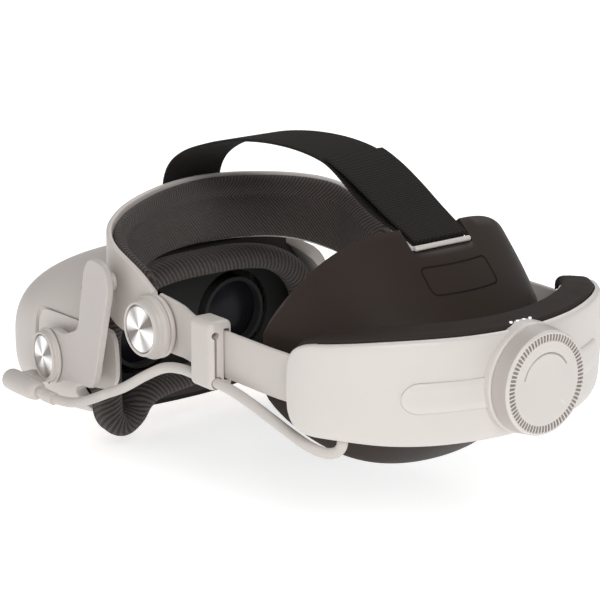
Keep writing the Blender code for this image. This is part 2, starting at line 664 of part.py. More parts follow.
def build_cover():
    rows = []
    for x, y, top, _bottom in smooth_rows(mirrored(HOUSING_PATH), 2):
        if abs(x) < 90.0:
            rows.append((x, y, top + 2.2, top - 1.2))
    section = [(-3.8, 0, 0), (-3.8, 0.6, 0), (-5.0, 1, -0.4), (-9.0, 1, 0.2), (-14.5, 1, 1.0),
               (-15.5, 1, 0.4), (-15.5, 0, 0)]
    cover = loft("rear_top_cover", wall_rings(rows, section, side=-1.0), DARK)
    for i in range(4):
        x = -5.6 + 4.0 * i
        hole = rod(f"led_hole_{i}", 1.0, -12, 12, (x, 182.2 - x * x / 220.0, 26.0), "z", helper=True, steps=12)
        cut(cover, hole)
    bar = block("led_light_guide", (0.4, 182.0, 23.6), (15.0, 2.2, 1.4), LIGHT)
    for i in range(4):
        x = -5.6 + 4.0 * i
        stud = rod(f"led_stud_{i}", 0.75, -2.4, 4.6, (x, 182.2 - x * x / 220.0, 24.0), "z", helper=True, steps=12)
        join(bar, stud)


def cradle_point(angle, z):
    """A point of the cradle's outer surface; it curls in over and under the head."""
    lean = 1.0
    if z > 14.0:
        lean = 1.0 - 0.45 * ((z - 14.0) / 46.0) ** 1.25
    if z < -18.0:
        lean = 1.0 - 0.38 * ((-18.0 - z) / 36.0) ** 1.4
    return Vector((80.5 * math.sin(angle) * (0.62 + 0.38 * lean), 70.0 + 93.5 * math.cos(angle) * lean, z))


def cradle_grid(scale=1.0, inset=0.0, columns=20, rows=12):
    """Rows of points over the cradle, scaled about its middle and set in towards the head."""
    grid = []
    for j in range(rows + 1):
        v = j / rows
        row = []
        for i in range(columns + 1):
            u = -1.0 + 2.0 * i / columns
            angle = u * math.radians(78.0) * scale
            share = abs(u)
            top = 14.0 + 47.5 * (1.0 - share ** 3.2) ** 0.8
            bottom = -13.0 - 40.5 * (1.0 - share ** 2.4) ** 0.8
            top = 6.0 + (top - 6.0) * scale
            bottom = 6.0 + (bottom - 6.0) * scale
            p = cradle_point(angle, bottom + v * (top - bottom))
            centre = Vector((0, 62.0, p.z * 0.35))
            p = p + (centre - p).normalized() * inset
            row.append(vec(p))
        grid.append(row)
    return grid


def shell_of(name, grid, thickness, mat):
    """A closed sheet: the grid, and the same grid set in towards the middle of the head."""
    rows, columns = len(grid), len(grid[0])
    outer = [p for row in grid for p in row]
    inner = []
    for p in outer:
        centre = Vector((0, 62.0, p[2] * 0.35))
        inner.append(vec(Vector(p) + (centre - Vector(p)).normalized() * thickness))
    total = rows * columns
    faces = []
    for j in range(rows - 1):
        for i in range(columns - 1):
            a = j * columns + i
            quad = (a, a + 1, a + columns + 1, a + columns)
            faces.append(quad)
            faces.append(tuple(total + k for k in reversed(quad)))
    rim = [i for i in range(columns)]
    rim += [j * columns + columns - 1 for j in range(1, rows)]
    rim += [(rows - 1) * columns + i for i in range(columns - 2, -1, -1)]
    rim += [j * columns for j in range(rows - 2, 0, -1)]
    for k, a in enumerate(rim):
        b = rim[(k + 1) % len(rim)]
        faces.append((a, b, b + total, a + total))
    return solid(name, outer + inner, faces, mat)


def build_cradle():
    cradle = shell_of("cradle_shell", cradle_grid(), 3.0, DARK)
    notch = block("strap_notch", (0, 118.0, 58.5), (STRAP_W + 3.0, 40.0, 14.0), helper=True)
    cut(cradle, notch)
    shell_of("cradle_cushion", cradle_grid(0.86, 4.4, 16, 8), 7.0, FABRIC)


def build_drive():
    knob = [(0.0, 11.0), (DIAL_R - 1.4, 11.0), (DIAL_R, 9.8), (DIAL_R + 0.9, 1.9), (0.0, 1.9)]
    dial = turned("dial_knob", knob, (0, DIAL_BASE_Y, DIAL_Z), "y", WHITE, 48)
    socket = rod("dial_socket", 4.0, -2.0, 7.0, (0, DIAL_BASE_Y, DIAL_Z), "y", helper=True)
    cut(dial, socket)
    shaft = [(0.0, 6.6), (3.6, 6.6), (3.6, -15.4), (0.0, -15.4)]
    turned("dial_shaft", shaft, (0, DIAL_BASE_Y, DIAL_Z), "y", STEEL, 20)
    pinion = gear("pinion", 12, PINION_R - 1.1, PINION_R + 0.9, 4.2, 5.0, (0, 178.6, DIAL_Z))
    pinion.data.materials.append(DARK)
    for side, z in ((1, DIAL_Z + 11.6), (-1, DIAL_Z - 11.6)):
        rows = []
        for k in range(13):
            a = math.radians(-7.0 + 46.0 * k / 12.0)
            r = 106.6
            rows.append((side * r * math.sin(a), HOUSING_C + r * math.cos(a), z + 2.4, z - 2.4))
        rings = wall_rings(rows, plate_section(2.2, 0.3), side=side * -1.0)
        loft(f"rack_{side_name(side)}", rings, DARK)


def gear(name, teeth, root, tip, bore, width, at):
    """A spur gear about Y."""
    points = []
    for i in range(teeth):
        for k, r in ((0.0, root), (0.3, tip), (0.55, tip), (0.85, root)):
            a = 2 * math.pi * (i + k) / teeth
            points.append((r * math.cos(a), r * math.sin(a)))
    count = len(points)
    rings = []
    for y in (-width / 2, width / 2):
        rings.append([(p[0], y, p[1]) for p in points])
    inner = []
    for y in (width / 2, -width / 2):
        inner.append([(bore * math.cos(2 * math.pi * i / count), y, bore * math.sin(2 * math.pi * i / count))
                      for i in range(count)])
    obj = loft(name, rings + inner, None, loop=True)
    obj.location = Vector(at) * MM
    return obj


def build_rear_inside():
    for side in (1, -1):
        name = side_name(side)
        cell = block(f"battery_cell_{name}", (side * 43.0, 160.5, 3.0), (44.0, 7.0, 32.0), CELL, 1.0)
        cell.rotation_euler = (0, 0, math.radians(-side * 27.0))
    block("battery_board", (0.0, 170.3, 3.0), (26.0, 1.6, 30.0), BOARD)


# ---- top strap ----
STRAP_PATH = [
    (-77.2, 37.0), (-77.4, 50.0), (-71.0, 61.0), (-58.0, 69.5), (-40.0, 76.0), (-20.0, 81.5), (0.0, 85.0),
    (20.0, 86.8), (40.0, 86.8), (58.0, 84.6), (74.0, 79.5), (90.0, 72.0), (104.0, 64.5), (116.0, 58.6),
    (124.6, 54.6),
]


def strap_rings(path, width, thickness, lift=0.0):
    """A flat strap along a side-view path of (y, z)."""
    rings = []
    for i, (y, z) in enumerate(path):
        a, b = path[max(i - 1, 0)], path[min(i + 1, len(path) - 1)]
        along = Vector((0, b[0] - a[0], b[1] - a[1])).normalized()
        up = Vector((0, -along.z, along.y))
        middle = Vector((0, y, z)) + up * lift
        half = width / 2
        low = middle - up * (thickness / 2)
        high = middle + up * (thickness / 2)
        rings.append([(half, low.y, low.z), (half, high.y, high.z), (-half, high.y, high.z), (-half, low.y, low.z)])
    return rings


def build_strap():
    line = [(y, z) for y, z, _ in smooth([(y, z, 0.0) for y, z in STRAP_PATH], 2)]
    loft("top_strap", strap_rings(line, STRAP_W, STRAP_T), WEBBING)
    tail = [p for p in line if p[0] > 62.0]
    loft("strap_tail", strap_rings(tail, STRAP_W, STRAP_T, STRAP_T + 0.4), WEBBING)
    anchor = block("strap_anchor", (0, -75.0, 31.0), (44.0, 3.6, 12.0), WHITE, 0.8)
    rod("strap_bar", 1.5, -20.2, 20.2, (0, 127.4, 53.6), "x", WHITE, steps=12)
    return anchor


build_halo()
build_temples()
build_brackets()
build_visor_shell()
build_visor_inside()
build_headset_arms()
build_face()
build_arms()
build_clip()
build_cable()
build_housing()
build_cover()
build_cradle()
build_drive()
build_rear_inside()
build_strap()
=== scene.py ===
"""The headset's visible surfaces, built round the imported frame. Lengths in the helpers are millimetres."""

import json
import math

import bmesh
import bpy
from mathutils import Matrix, Vector


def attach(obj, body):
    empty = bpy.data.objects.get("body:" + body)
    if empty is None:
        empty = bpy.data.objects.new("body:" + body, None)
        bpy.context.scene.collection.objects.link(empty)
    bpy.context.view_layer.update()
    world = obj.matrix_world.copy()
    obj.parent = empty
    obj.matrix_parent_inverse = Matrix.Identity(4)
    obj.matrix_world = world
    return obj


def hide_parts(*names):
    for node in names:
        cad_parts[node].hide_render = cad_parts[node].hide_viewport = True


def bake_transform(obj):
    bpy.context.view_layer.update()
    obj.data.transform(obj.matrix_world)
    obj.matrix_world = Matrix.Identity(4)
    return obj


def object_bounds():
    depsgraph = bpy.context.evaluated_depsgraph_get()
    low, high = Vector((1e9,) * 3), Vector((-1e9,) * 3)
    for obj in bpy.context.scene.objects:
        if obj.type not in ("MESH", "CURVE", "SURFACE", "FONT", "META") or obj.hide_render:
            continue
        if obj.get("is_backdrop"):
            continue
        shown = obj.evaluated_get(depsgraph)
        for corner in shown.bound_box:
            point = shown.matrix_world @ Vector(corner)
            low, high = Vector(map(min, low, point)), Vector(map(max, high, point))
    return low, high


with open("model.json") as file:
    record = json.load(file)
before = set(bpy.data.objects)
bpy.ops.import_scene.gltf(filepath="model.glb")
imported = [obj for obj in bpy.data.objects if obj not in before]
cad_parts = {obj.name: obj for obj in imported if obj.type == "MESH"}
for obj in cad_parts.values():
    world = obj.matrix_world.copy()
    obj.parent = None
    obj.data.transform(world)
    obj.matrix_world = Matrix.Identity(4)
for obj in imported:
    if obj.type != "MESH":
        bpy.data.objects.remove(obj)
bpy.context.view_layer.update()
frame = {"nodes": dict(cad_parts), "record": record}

MM = 0.001
NODES = frame["nodes"]
SIDES = ((1, "left"), (-1, "right"))

# The camera: what it looks at and from how far, in metres, from which angles, and its lens in millimetres.
TARGET = Vector((-0.0018, 0.0157, 0.0003))
CAMERA_AZIMUTH = math.radians(141.7)
CAMERA_ELEVATION = math.radians(15.9)
CAMERA_DISTANCE = 1.146
CAMERA_LENS = 132.0
SENSOR_WIDTH = 36.0


# ---- materials
class Maker:
    """Builds one node material."""

    def __init__(self, name, colour, roughness, metallic=0.0):
        self.material = bpy.data.materials.new(name)
        self.material.use_nodes = True
        self.tree = self.material.node_tree
        self.shader = self.tree.nodes["Principled BSDF"]
        self.set(Base_Color=(*colour, 1.0), Roughness=roughness, Metallic=metallic)

    def node(self, kind, **settings):
        made = self.tree.nodes.new(kind)
        for key, value in settings.items():
            setattr(made, key, value)
        return made

    def link(self, out, into):
        self.tree.links.new(out, into)

    def coords(self, source="Object"):
        return self.node("ShaderNodeTexCoord").outputs[source]

    def set(self, **inputs):
        """Sets shader inputs, named with _ for each space."""
        for name, value in inputs.items():
            self.shader.inputs[name.replace("_", " ")].default_value = value

    def noise(self, scale, detail=3.0):
        made = self.node("ShaderNodeTexNoise")
        made.inputs["Scale"].default_value = scale
        made.inputs["Detail"].default_value = detail
        self.link(self.coords(), made.inputs["Vector"])
        return made.outputs["Fac"]

    def math(self, operation, a, b=None, c=None):
        made = self.node("ShaderNodeMath", operation=operation)
        for socket, value in zip(made.inputs, (a, b, c)):
            if value is None:
                continue
            if isinstance(value, (int, float)):
                socket.default_value = value
            else:
                self.link(value, socket)
        return made.outputs[0]

    def times(self, a, b):
        return self.math("MULTIPLY", a, b)

    def plus(self, a, b):
        return self.math("ADD", a, b)

    def ramp(self, factor, stops):
        made = self.node("ShaderNodeValToRGB")
        elements = made.color_ramp.elements
        while len(elements) < len(stops):
            elements.new(0.5)
        for element, (position, colour) in zip(elements, stops):
            element.position = position
            element.color = (*colour, 1.0)
        self.link(factor, made.inputs["Fac"])
        return made.outputs["Color"]

    def mix(self, factor, under, over):
        """The colour over, which is a tuple, laid on the socket under by the socket factor."""
        made = self.node("ShaderNodeMix", data_type="RGBA")
        self.link(factor, made.inputs[0])
        self.link(under, made.inputs[6])
        made.inputs[7].default_value = (*over, 1.0)
        return made.outputs[2]

    def bump(self, height, strength, distance, after=None):
        """A bump from a height socket, on top of the bump after."""
        made = self.node("ShaderNodeBump")
        made.inputs["Strength"].default_value = strength
        made.inputs["Distance"].default_value = distance
        self.link(height, made.inputs["Height"])
        if after is not None:
            self.link(after, made.inputs["Normal"])
        return made.outputs["Normal"]

    def finish(self, colour, roughness=None, normal=None):
        """Wires the sockets given into the shader, and gives the material."""
        for name, socket in (("Base Color", colour), ("Roughness", roughness), ("Normal", normal)):
            if socket is not None:
                self.link(socket, self.shader.inputs[name])
        return self.material


def moulded(name, colour, roughness, grain=0.05, spread=0.02, coat=0.0, scale=1400.0, gloss=0.5):
    """Moulded plastic: fine spark-eroded grain, faint cloudiness and a painted highlight on convex edges."""
    m = Maker(name, colour, roughness)
    cloud = m.noise(18.0, 4.0)
    dark, light = (tuple(c * (1.0 + change) for c in colour) for change in (-spread, spread))
    base = m.ramp(cloud, [(0.35, dark), (0.65, light)])
    outward = m.node("ShaderNodeNewGeometry").outputs["Pointiness"]
    # Painted highlight: convex edges are mixed towards a lighter colour, as if they catch the light.
    fold = m.ramp(outward, [(0.50, (0, 0, 0)), (0.62, (1, 1, 1))])
    painted_edge_highlight = m.mix(fold, base, tuple(c * 1.10 + 0.028 for c in colour))
    grainy = m.noise(scale, 2.0)
    smear = m.noise(70.0)
    swing = 0.14  # how far the smears move the roughness, in all
    rough = m.math("MULTIPLY_ADD", smear, swing, roughness - swing / 2)
    m.set(Specular_IOR_Level=gloss, Coat_Weight=coat, Coat_Roughness=0.25)
    return m.finish(painted_edge_highlight, rough, m.bump(grainy, grain, 0.0002))


def rib_fabric(name, dark, light, pitch, slant, chevron=None, fuzz=0.35, sheen=0.12):
    """Ribbed knit. The mesh's UVs are in metres: along the piece, and down from its top edge."""
    m = Maker(name, dark, 0.92)
    split = m.node("ShaderNodeSeparateXYZ")
    m.link(m.coords("UV"), split.inputs[0])
    along, down = split.outputs[0], split.outputs[1]
    if chevron is not None:
        down = m.math("ABSOLUTE", m.math("SUBTRACT", down, chevron))
    wobble = m.times(m.math("SUBTRACT", m.noise(60.0, 2.0), 0.5), pitch * 0.5)
    phase = m.plus(m.math("MULTIPLY_ADD", down, slant, along), wobble)
    wave = m.math("SINE", m.times(phase, 2.0 * math.pi / pitch))
    rib = m.math("MULTIPLY_ADD", wave, 0.5, 0.5)
    thread_phase = m.math("SUBTRACT", down, m.times(along, slant))
    thread = m.math("SINE", m.times(thread_phase, 2.0 * math.pi / (pitch * 0.42)))
    knit = m.math("MULTIPLY_ADD", thread, 0.22, m.times(rib, 0.78))
    fibres = m.noise(2600.0, 2.0)
    tone = m.plus(m.times(rib, 1.0 - fuzz), m.times(fibres, fuzz))
    colour = m.ramp(tone, [(0.18, dark), (0.80, light)])
    dusty = m.mix(m.times(m.noise(14.0, 4.0), 0.35), colour, tuple(c * 1.3 for c in light))
    m.set(Sheen_Weight=sheen, Sheen_Roughness=0.5, Specular_IOR_Level=0.15)
    normal = m.bump(knit, 0.9, 0.0006, m.bump(fibres, 0.25, 0.0002))
    return m.finish(dusty, None, normal)


def spun_metal(name):
    """Metal turned from the centre: fine rings, and a painted reflection of light and dark sectors round the
    centre.
    """
    ring_pitch = 0.00045
    m = Maker(name, (0.86, 0.85, 0.84), 0.26, 1.0)
    split = m.node("ShaderNodeSeparateXYZ")
    m.link(m.coords(), split.inputs[0])
    angle = m.math("ARCTAN2", split.outputs[1], split.outputs[0])
    # Painted reflection: the colour runs light and dark with the angle round the centre, as a spun disc
    # reflects lamps.
    painted_reflection_fan = m.math("COSINE", m.math("MULTIPLY_ADD", angle, 4.0, 0.9))
    painted_reflection_sway = m.math("COSINE", m.math("MULTIPLY_ADD", angle, 2.0, 2.2))
    both = m.plus(m.times(painted_reflection_fan, 0.36), m.times(painted_reflection_sway, 0.14))
    squares = [m.math("POWER", split.outputs[k], 2.0) for k in (0, 1)]
    radius = m.math("SQRT", m.plus(*squares))
    rings = m.math("SINE", m.times(radius, 2.0 * math.pi / ring_pitch))
    jitter = m.times(m.noise(900.0, 2.0), 0.12)
    level = m.plus(m.plus(both, 0.46), jitter)
    painted_reflection_tones = [(0.12, (0.20, 0.18, 0.17)), (0.45, (0.62, 0.60, 0.59)), (0.82, (0.98, 0.98, 0.97))]
    colour = m.ramp(level, painted_reflection_tones)
    tangent = m.node("ShaderNodeTangent", direction_type="RADIAL", axis="Z")
    m.link(tangent.outputs[0], m.shader.inputs["Tangent"])
    m.set(Anisotropic=0.8)
    return m.finish(colour, None, m.bump(rings, 0.12, 0.00005))


def brushed(name, colour):
    """Metal with fine streaks."""
    m = Maker(name, colour, 0.35, 1.0)
    streak = m.noise(240.0, 4.0)
    tone = m.ramp(streak, [(0.3, tuple(c * 0.8 for c in colour)), (0.7, colour)])
    return m.finish(tone, m.math("MULTIPLY_ADD", streak, 0.2, 0.25), m.bump(streak, 0.08, 0.0001))


def board_material(name):
    """A green solder-masked board with traces and pads."""
    m = Maker(name, (0.02, 0.10, 0.05), 0.4)
    fields = m.node("ShaderNodeTexBrick")
    fields.inputs["Scale"].default_value = 260.0
    fields.inputs["Color1"].default_value = (0.015, 0.10, 0.045, 1)
    fields.inputs["Color2"].default_value = (0.02, 0.13, 0.06, 1)
    fields.inputs["Mortar"].default_value = (0.05, 0.24, 0.10, 1)
    m.link(m.coords(), fields.inputs["Vector"])
    return m.finish(fields.outputs["Color"], m.math("MULTIPLY_ADD", m.noise(90.0), 0.2, 0.3),
                    m.bump(fields.outputs["Fac"], 0.3, 0.0002))


def lens_material(name):
    """A dark, glossy lens."""
    m = Maker(name, (0.008, 0.008, 0.010), 0.12)
    tint = m.ramp(m.noise(30.0), [(0.3, (0.006, 0.006, 0.008)), (0.7, (0.012, 0.012, 0.015))])
    m.set(Specular_IOR_Level=0.12)
    rough = m.math("MULTIPLY_ADD", m.noise(120.0), 0.06, 0.22)
    return m.finish(tint, rough, m.bump(m.noise(500.0), 0.02, 0.0001))


def lamp_material(name):
    """A lit window in the housing."""
    m = Maker(name, (0.95, 0.95, 0.95), 0.3)
    glow = m.ramp(m.noise(400.0), [(0.3, (0.9, 0.92, 0.95)), (0.7, (1, 1, 1))])
    m.link(glow, m.shader.inputs["Emission Color"])
    m.set(Emission_Strength=0.5)
    return m.finish(glow, None, m.bump(m.noise(900.0), 0.05, 0.0001))


WHITE = moulded("white_shell", (0.560, 0.515, 0.485), 0.42, coat=0.05)
PALE = moulded("pale_housing", (0.620, 0.580, 0.550), 0.40, coat=0.05)
PLATE = moulded("plate_white", (0.500, 0.455, 0.430), 0.46, coat=0.04)
DARK = moulded("dark_shell", (0.031, 0.0220, 0.0182), 0.50, grain=0.06, spread=0.06, gloss=0.10)
COVER = moulded("dark_cover", (0.025, 0.0172, 0.0145), 0.60, grain=0.06, spread=0.06, gloss=0.06)
BLACK = moulded("black_inside", (0.0055, 0.0050, 0.0045), 0.9, grain=0.10, spread=0.10, gloss=0.05)
GROOVE = moulded("groove_shadow", (0.008, 0.006, 0.005), 0.7, grain=0.10, spread=0.10, gloss=0.0)
# Painted shade: a darker copy of the dial's pale white, for its side wall, where less light falls.
DIAL_SIDE_SHADE = moulded("dial_side_painted_shade", (0.430, 0.385, 0.360), 0.46, grain=0.10)
# Painted shade: a darker copy of the dial's pale white, for the floors and walls of its recesses.
TICK_RECESS_SHADE = moulded("dial_ticks_painted_shade", (0.330, 0.290, 0.270), 0.50, grain=0.10)
SEAM = moulded("shut_line", (0.24, 0.215, 0.20), 0.6, grain=0.10, spread=0.05)
JACKET = moulded("cable_jacket", (0.540, 0.500, 0.470), 0.50, grain=0.08, spread=0.03, scale=900.0)
WRAP = moulded("battery_wrap", (0.10, 0.13, 0.20), 0.45, grain=0.15, spread=0.10)
METAL = spun_metal("spun_metal")
STEEL = brushed("steel", (0.60, 0.60, 0.61))
BOARD = board_material("circuit_board")
LENS = lens_material("lens")
LAMP = lamp_material("light_guide")
HALO_KNIT = rib_fabric("halo_knit", (0.014, 0.011, 0.010), (0.085, 0.068, 0.062), 0.0021, 0.95,
                       chevron=0.0105)
FACE_KNIT = rib_fabric("face_knit", (0.012, 0.010, 0.009), (0.082, 0.068, 0.063), 0.0026, 0.45)
CUSHION_KNIT = rib_fabric("cushion_knit", (0.012, 0.010, 0.009), (0.060, 0.050, 0.046), 0.0022, 0.9)
STRAP_WEAVE = rib_fabric("strap_webbing", (0.005, 0.0042, 0.0038), (0.022, 0.018, 0.016), 0.0017, 0.55,
                         fuzz=0.30, sheen=0.03)


# ---- mesh helpers
SHARP = 38.0  # degrees between two faces from which their edge is hard


def shade(mesh, angle=SHARP):
    """Smooth faces, with hard edges where the surface turns sharply."""
    for face in mesh.polygons:
        face.use_smooth = True
    mesh.set_sharp_from_angle(angle=math.radians(angle))


def new_object(name, data):
    """An object in the scene with this data."""
    made = bpy.data.objects.new(name, data)
    bpy.context.scene.collection.objects.link(made)
    return made


def piece(name, points, faces, material, uvs=None, angle=SHARP):
    """A mesh object from points in millimetres. uvs is one (u, v) in metres for each point."""
    mesh = bpy.data.meshes.new(name)
    mesh.from_pydata([Vector(p) * MM for p in points], [], faces)
    if uvs is not None:
        layer = mesh.uv_layers.new(name="cloth")
        for loop in mesh.loops:
            layer.data[loop.index].uv = uvs[loop.vertex_index]
    work = bmesh.new()
    work.from_mesh(mesh)
    bmesh.ops.recalc_face_normals(work, faces=work.faces)
    work.to_mesh(mesh)
    work.free()
    shade(mesh, angle)
    mesh.materials.append(material)
    return new_object(name, mesh)


def skin(name, rings, material, loop=False, uvs=None, angle=SHARP):
    """A closed surface over rings of points, capped at both ends unless it is a loop."""
    count = len(rings[0])
    faces = []
    for i in range(len(rings) if loop else len(rings) - 1):
        a = i * count
        b = ((i + 1) % len(rings)) * count
        for j in range(count):
            k = (j + 1) % count
            faces.append((a + j, a + k, b + k, b + j))
    if not loop:
        faces.append(tuple(range(count)))
        faces.append(tuple(range((len(rings) - 1) * count, len(rings) * count)))
    points = [p for ring in rings for p in ring]
    flat = None if uvs is None else [uv for row in uvs for uv in row]
    return piece(name, points, faces, material, flat, angle)


def turned_mesh(name, rings, material, angle):
    """A closed turned piece from open rings that start and end on flat round faces."""
    count = len(rings[0])
    faces = []
    for i in range(len(rings)):
        a, b = i * count, ((i + 1) % len(rings)) * count
        faces += [(a + j, a + j + 1, b + j + 1, b + j) for j in range(count - 1)]
    faces.append(tuple(i * count for i in range(len(rings))))
    faces.append(tuple(i * count + count - 1 for i in range(len(rings))))
    return piece(name, [p for ring in rings for p in ring], faces, material, None, angle)


def lathe(name, profile, matrix, material, steps=96, angle=34.0):
    """A turned piece about its own Z, from (radius, height) pairs, set in place by matrix.

    A profile that starts on the axis ends there too, and makes a solid piece. Any other is closed."""
    solid = profile[0][0] < 1e-6
    line = profile[1:-1] if solid else profile
    rings = []
    for s in range(steps):
        a = 2.0 * math.pi * s / steps
        rings.append([(r * math.cos(a), r * math.sin(a), h) for r, h in line])
    if solid:
        made = turned_mesh(name, rings, material, angle)
    else:
        made = skin(name, rings, material, loop=True, angle=angle)
    made.matrix_world = matrix
    bpy.context.view_layer.update()
    return made


def rounded(profile, radius, steps=3):
    """The closed profile with its corners rounded."""
    out = []
    count = len(profile)
    for i, point in enumerate(profile):
        p = Vector(point)
        a = Vector(profile[i - 1]) - p
        b = Vector(profile[(i + 1) % count]) - p
        if a.length < 1e-6 or b.length < 1e-6 or p.x < 1e-6:
            out.append(point)
            continue
        reach = min(radius, a.length * 0.45, b.length * 0.45)
        start, end = p + a.normalized() * reach, p + b.normalized() * reach
        for s in range(steps + 1):
            t = s / steps
            q = start * (1 - t) ** 2 + p * 2 * t * (1 - t) + end * t * t
            out.append((q.x, q.y))
    return out


def rod(name, radius, start, end, matrix, material=None, steps=40, edge=None):
    """A round rod along its own Z, with its edges rounded by edge."""
    profile = [(0.0, start), (radius, start), (radius, end), (0.0, end)]
    return lathe(name, rounded(profile, edge) if edge else profile, matrix, material or WHITE, steps)


def spline(rows, steps):
    """A Catmull-Rom curve through rows of numbers."""
    width = len(rows[0])
    first = [2 * a - b for a, b in zip(rows[0], rows[1])]
    final = [2 * a - b for a, b in zip(rows[-1], rows[-2])]
    line = [first] + [list(r) for r in rows] + [final]
    out = []
    for i in range(1, len(line) - 2):
        for s in range(steps):
            t = s / steps
            row = []
            for c in range(width):
                p0, p1, p2, p3 = (line[i + k][c] for k in (-1, 0, 1, 2))
                row.append(0.5 * (2 * p1 + (p2 - p0) * t + (2 * p0 - 5 * p1 + 4 * p2 - p3) * t * t
                                  + (3 * p1 - p0 - 3 * p2 + p3) * t ** 3))
            out.append(tuple(row))
    out.append(tuple(rows[-1]))
    return out


def spline_loop(rows, steps):
    """The same through rows that close on themselves."""
    ring = list(rows)
    padded = ring[-2:] + ring + ring[:2]
    return spline(padded, steps)[2 * steps : (len(ring) + 2) * steps]


def both_sides(rows):
    """Rows from the middle to one end, with their mirror image put before them."""
    return [(-row[0], *row[1:]) for row in reversed(rows) if row[0] > 1e-6] + list(rows)


def wall(path, section, shift=0.0, side=1.0):
    """Rings and UVs of a wall along a plan path of (x, y, top, bottom).

    section holds (offset outwards, share of the height, extra height)."""
    rings, uvs = [], []
    travelled = 0.0
    for i, (x, y, top, bottom) in enumerate(path):
        before, after = path[max(i - 1, 0)], path[min(i + 1, len(path) - 1)]
        along = Vector((after[0] - before[0], after[1] - before[1], 0)).normalized()
        out = Vector((along.y, -along.x, 0)) * side
        if i:
            travelled += math.hypot(x - path[i - 1][0], y - path[i - 1][1])
        ring, marks = [], []
        for offset, share, lift in section:
            p = Vector((x, y, 0)) + out * (offset + shift)
            z = bottom + share * (top - bottom) + lift
            ring.append((p.x, p.y, z))
            marks.append((travelled * MM, (top - z) * MM))
        rings.append(ring)
        uvs.append(marks)
    return rings, uvs


def join(*objects):
    """Puts the meshes in one object, the first."""
    bpy.context.view_layer.update()
    bpy.ops.object.select_all(action="DESELECT")
    for obj in objects:
        obj.select_set(True)
    bpy.context.view_layer.objects.active = objects[0]
    bpy.ops.object.join()
    for obj in bpy.context.selected_objects:
        obj.select_set(False)
    return objects[0]


def apply_modifiers(obj, angle):
    """The mesh that the modifiers make takes the place of the object's own."""
    bpy.context.view_layer.update()
    graph = bpy.context.evaluated_depsgraph_get()
    mesh = bpy.data.meshes.new_from_object(obj.evaluated_get(graph))
    obj.modifiers.clear()
    obj.data = mesh
    shade(mesh, angle)


def carve(obj, *cutters, angle=40.0):
    """Cuts each cutter's shape away, then removes the cutter."""
    for cutter in cutters:
        step = obj.modifiers.new("carve", "BOOLEAN")
        step.operation = "DIFFERENCE"
        step.solver = "EXACT"
        step.object = cutter
        apply_modifiers(obj, angle)
        bpy.data.objects.remove(cutter)


def edge_round(obj, width, angle):
    """Rounds the edges sharper than angle."""
    step = obj.modifiers.new("edge", "BEVEL")
    step.width = width * MM
    step.segments = 3
    step.limit_method = "ANGLE"
    step.angle_limit = math.radians(angle)
    apply_modifiers(obj, angle)


def brick(name, centre, size, radius=0.0, segments=4, material=None):
    """A box with rounded edges."""
    work = bmesh.new()
    bmesh.ops.create_cube(work, size=1.0)
    for vert in work.verts:
        vert.co = Vector([vert.co[k] * size[k] * MM for k in range(3)])
    if radius:
        bmesh.ops.bevel(work, geom=list(work.edges), offset=radius * MM, segments=segments,
                        profile=0.5, affect="EDGES")
    mesh = bpy.data.meshes.new(name)
    work.to_mesh(mesh)
    work.free()
    shade(mesh)
    mesh.materials.append(material or WHITE)
    made = new_object(name, mesh)
    made.matrix_world = Matrix.Translation(Vector(centre) * MM)
    bpy.context.view_layer.update()
    return made


def facing(at, normal):
    """A matrix at a point in millimetres whose Z looks along normal."""
    return Matrix.Translation(Vector(at) * MM) @ Vector(normal).to_track_quat("Z", "Y").to_matrix().to_4x4()


def stand_for(obj, body, slot, *nodes):
    """The piece rides on a body and stands for CAD nodes, which it hides. slot is not used."""
    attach(obj, body)
    if nodes:
        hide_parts(*nodes)


# ---- carried-over CAD nodes
def dress(node, material):
    """A CAD node keeps its shape and gets its material and smooth shading."""
    sharp = math.radians(32.0)
    obj = NODES[node]
    obj.data.materials.clear()
    obj.data.materials.append(material)
    weld = obj.modifiers.new("weld", "WELD")
    weld.merge_threshold = 0.00001
    split = obj.modifiers.new("hard_edges", "EDGE_SPLIT")
    split.split_angle = sharp
    for face in obj.data.polygons:
        face.use_smooth = True


FINISH = {
    "white_shell": WHITE, "dark_shell": DARK, "knit_fabric": CUSHION_KNIT, "webbing": STRAP_WEAVE,
    "spun_metal": METAL, "steel": STEEL, "circuit_board": BOARD, "battery_wrap": WRAP, "lens": LENS,
    "light_guide": LAMP, "cable_jacket": JACKET,
}
BLACK_NODES = ("lens_frame", "lens_barrel_left", "lens_barrel_right", "display_panel", "cooling_fan")
for part in frame["record"]["subparts"]:
    dress(part["node"], BLACK if part["node"] in BLACK_NODES else FINISH[part["material_slot"]])


# ---- halo band
TEMPLE_X, TEMPLE_Y = 85.2, 7
HALO_PATH = [  # x, y, top and bottom, from the brow to the left temple
    (0, -72, 52, 14), (18, -69.8, 51.7, 14), (34, -65.7, 50.8, 13.5), (48, -60.5, 49.5, 12),
    (60, -55, 47.8, 9), (70, -49.3, 45.5, 5), (78.4, -43, 42, 0.5), (83.4, -35.5, 38, -4),
    (85.3, -27, 34.2, -7), (85.3, -17, 30.2, -9.5), (85.2, -5, 25.4, -12), (85.2, 7.5, 18.5, -14.5),
]


def temple_axis(side):
    """Where the arm on this side, 1 for left and -1 for right, is pivoted, with Z looking outwards."""
    return facing((side * TEMPLE_X, TEMPLE_Y, 0), (side, 0, 0))


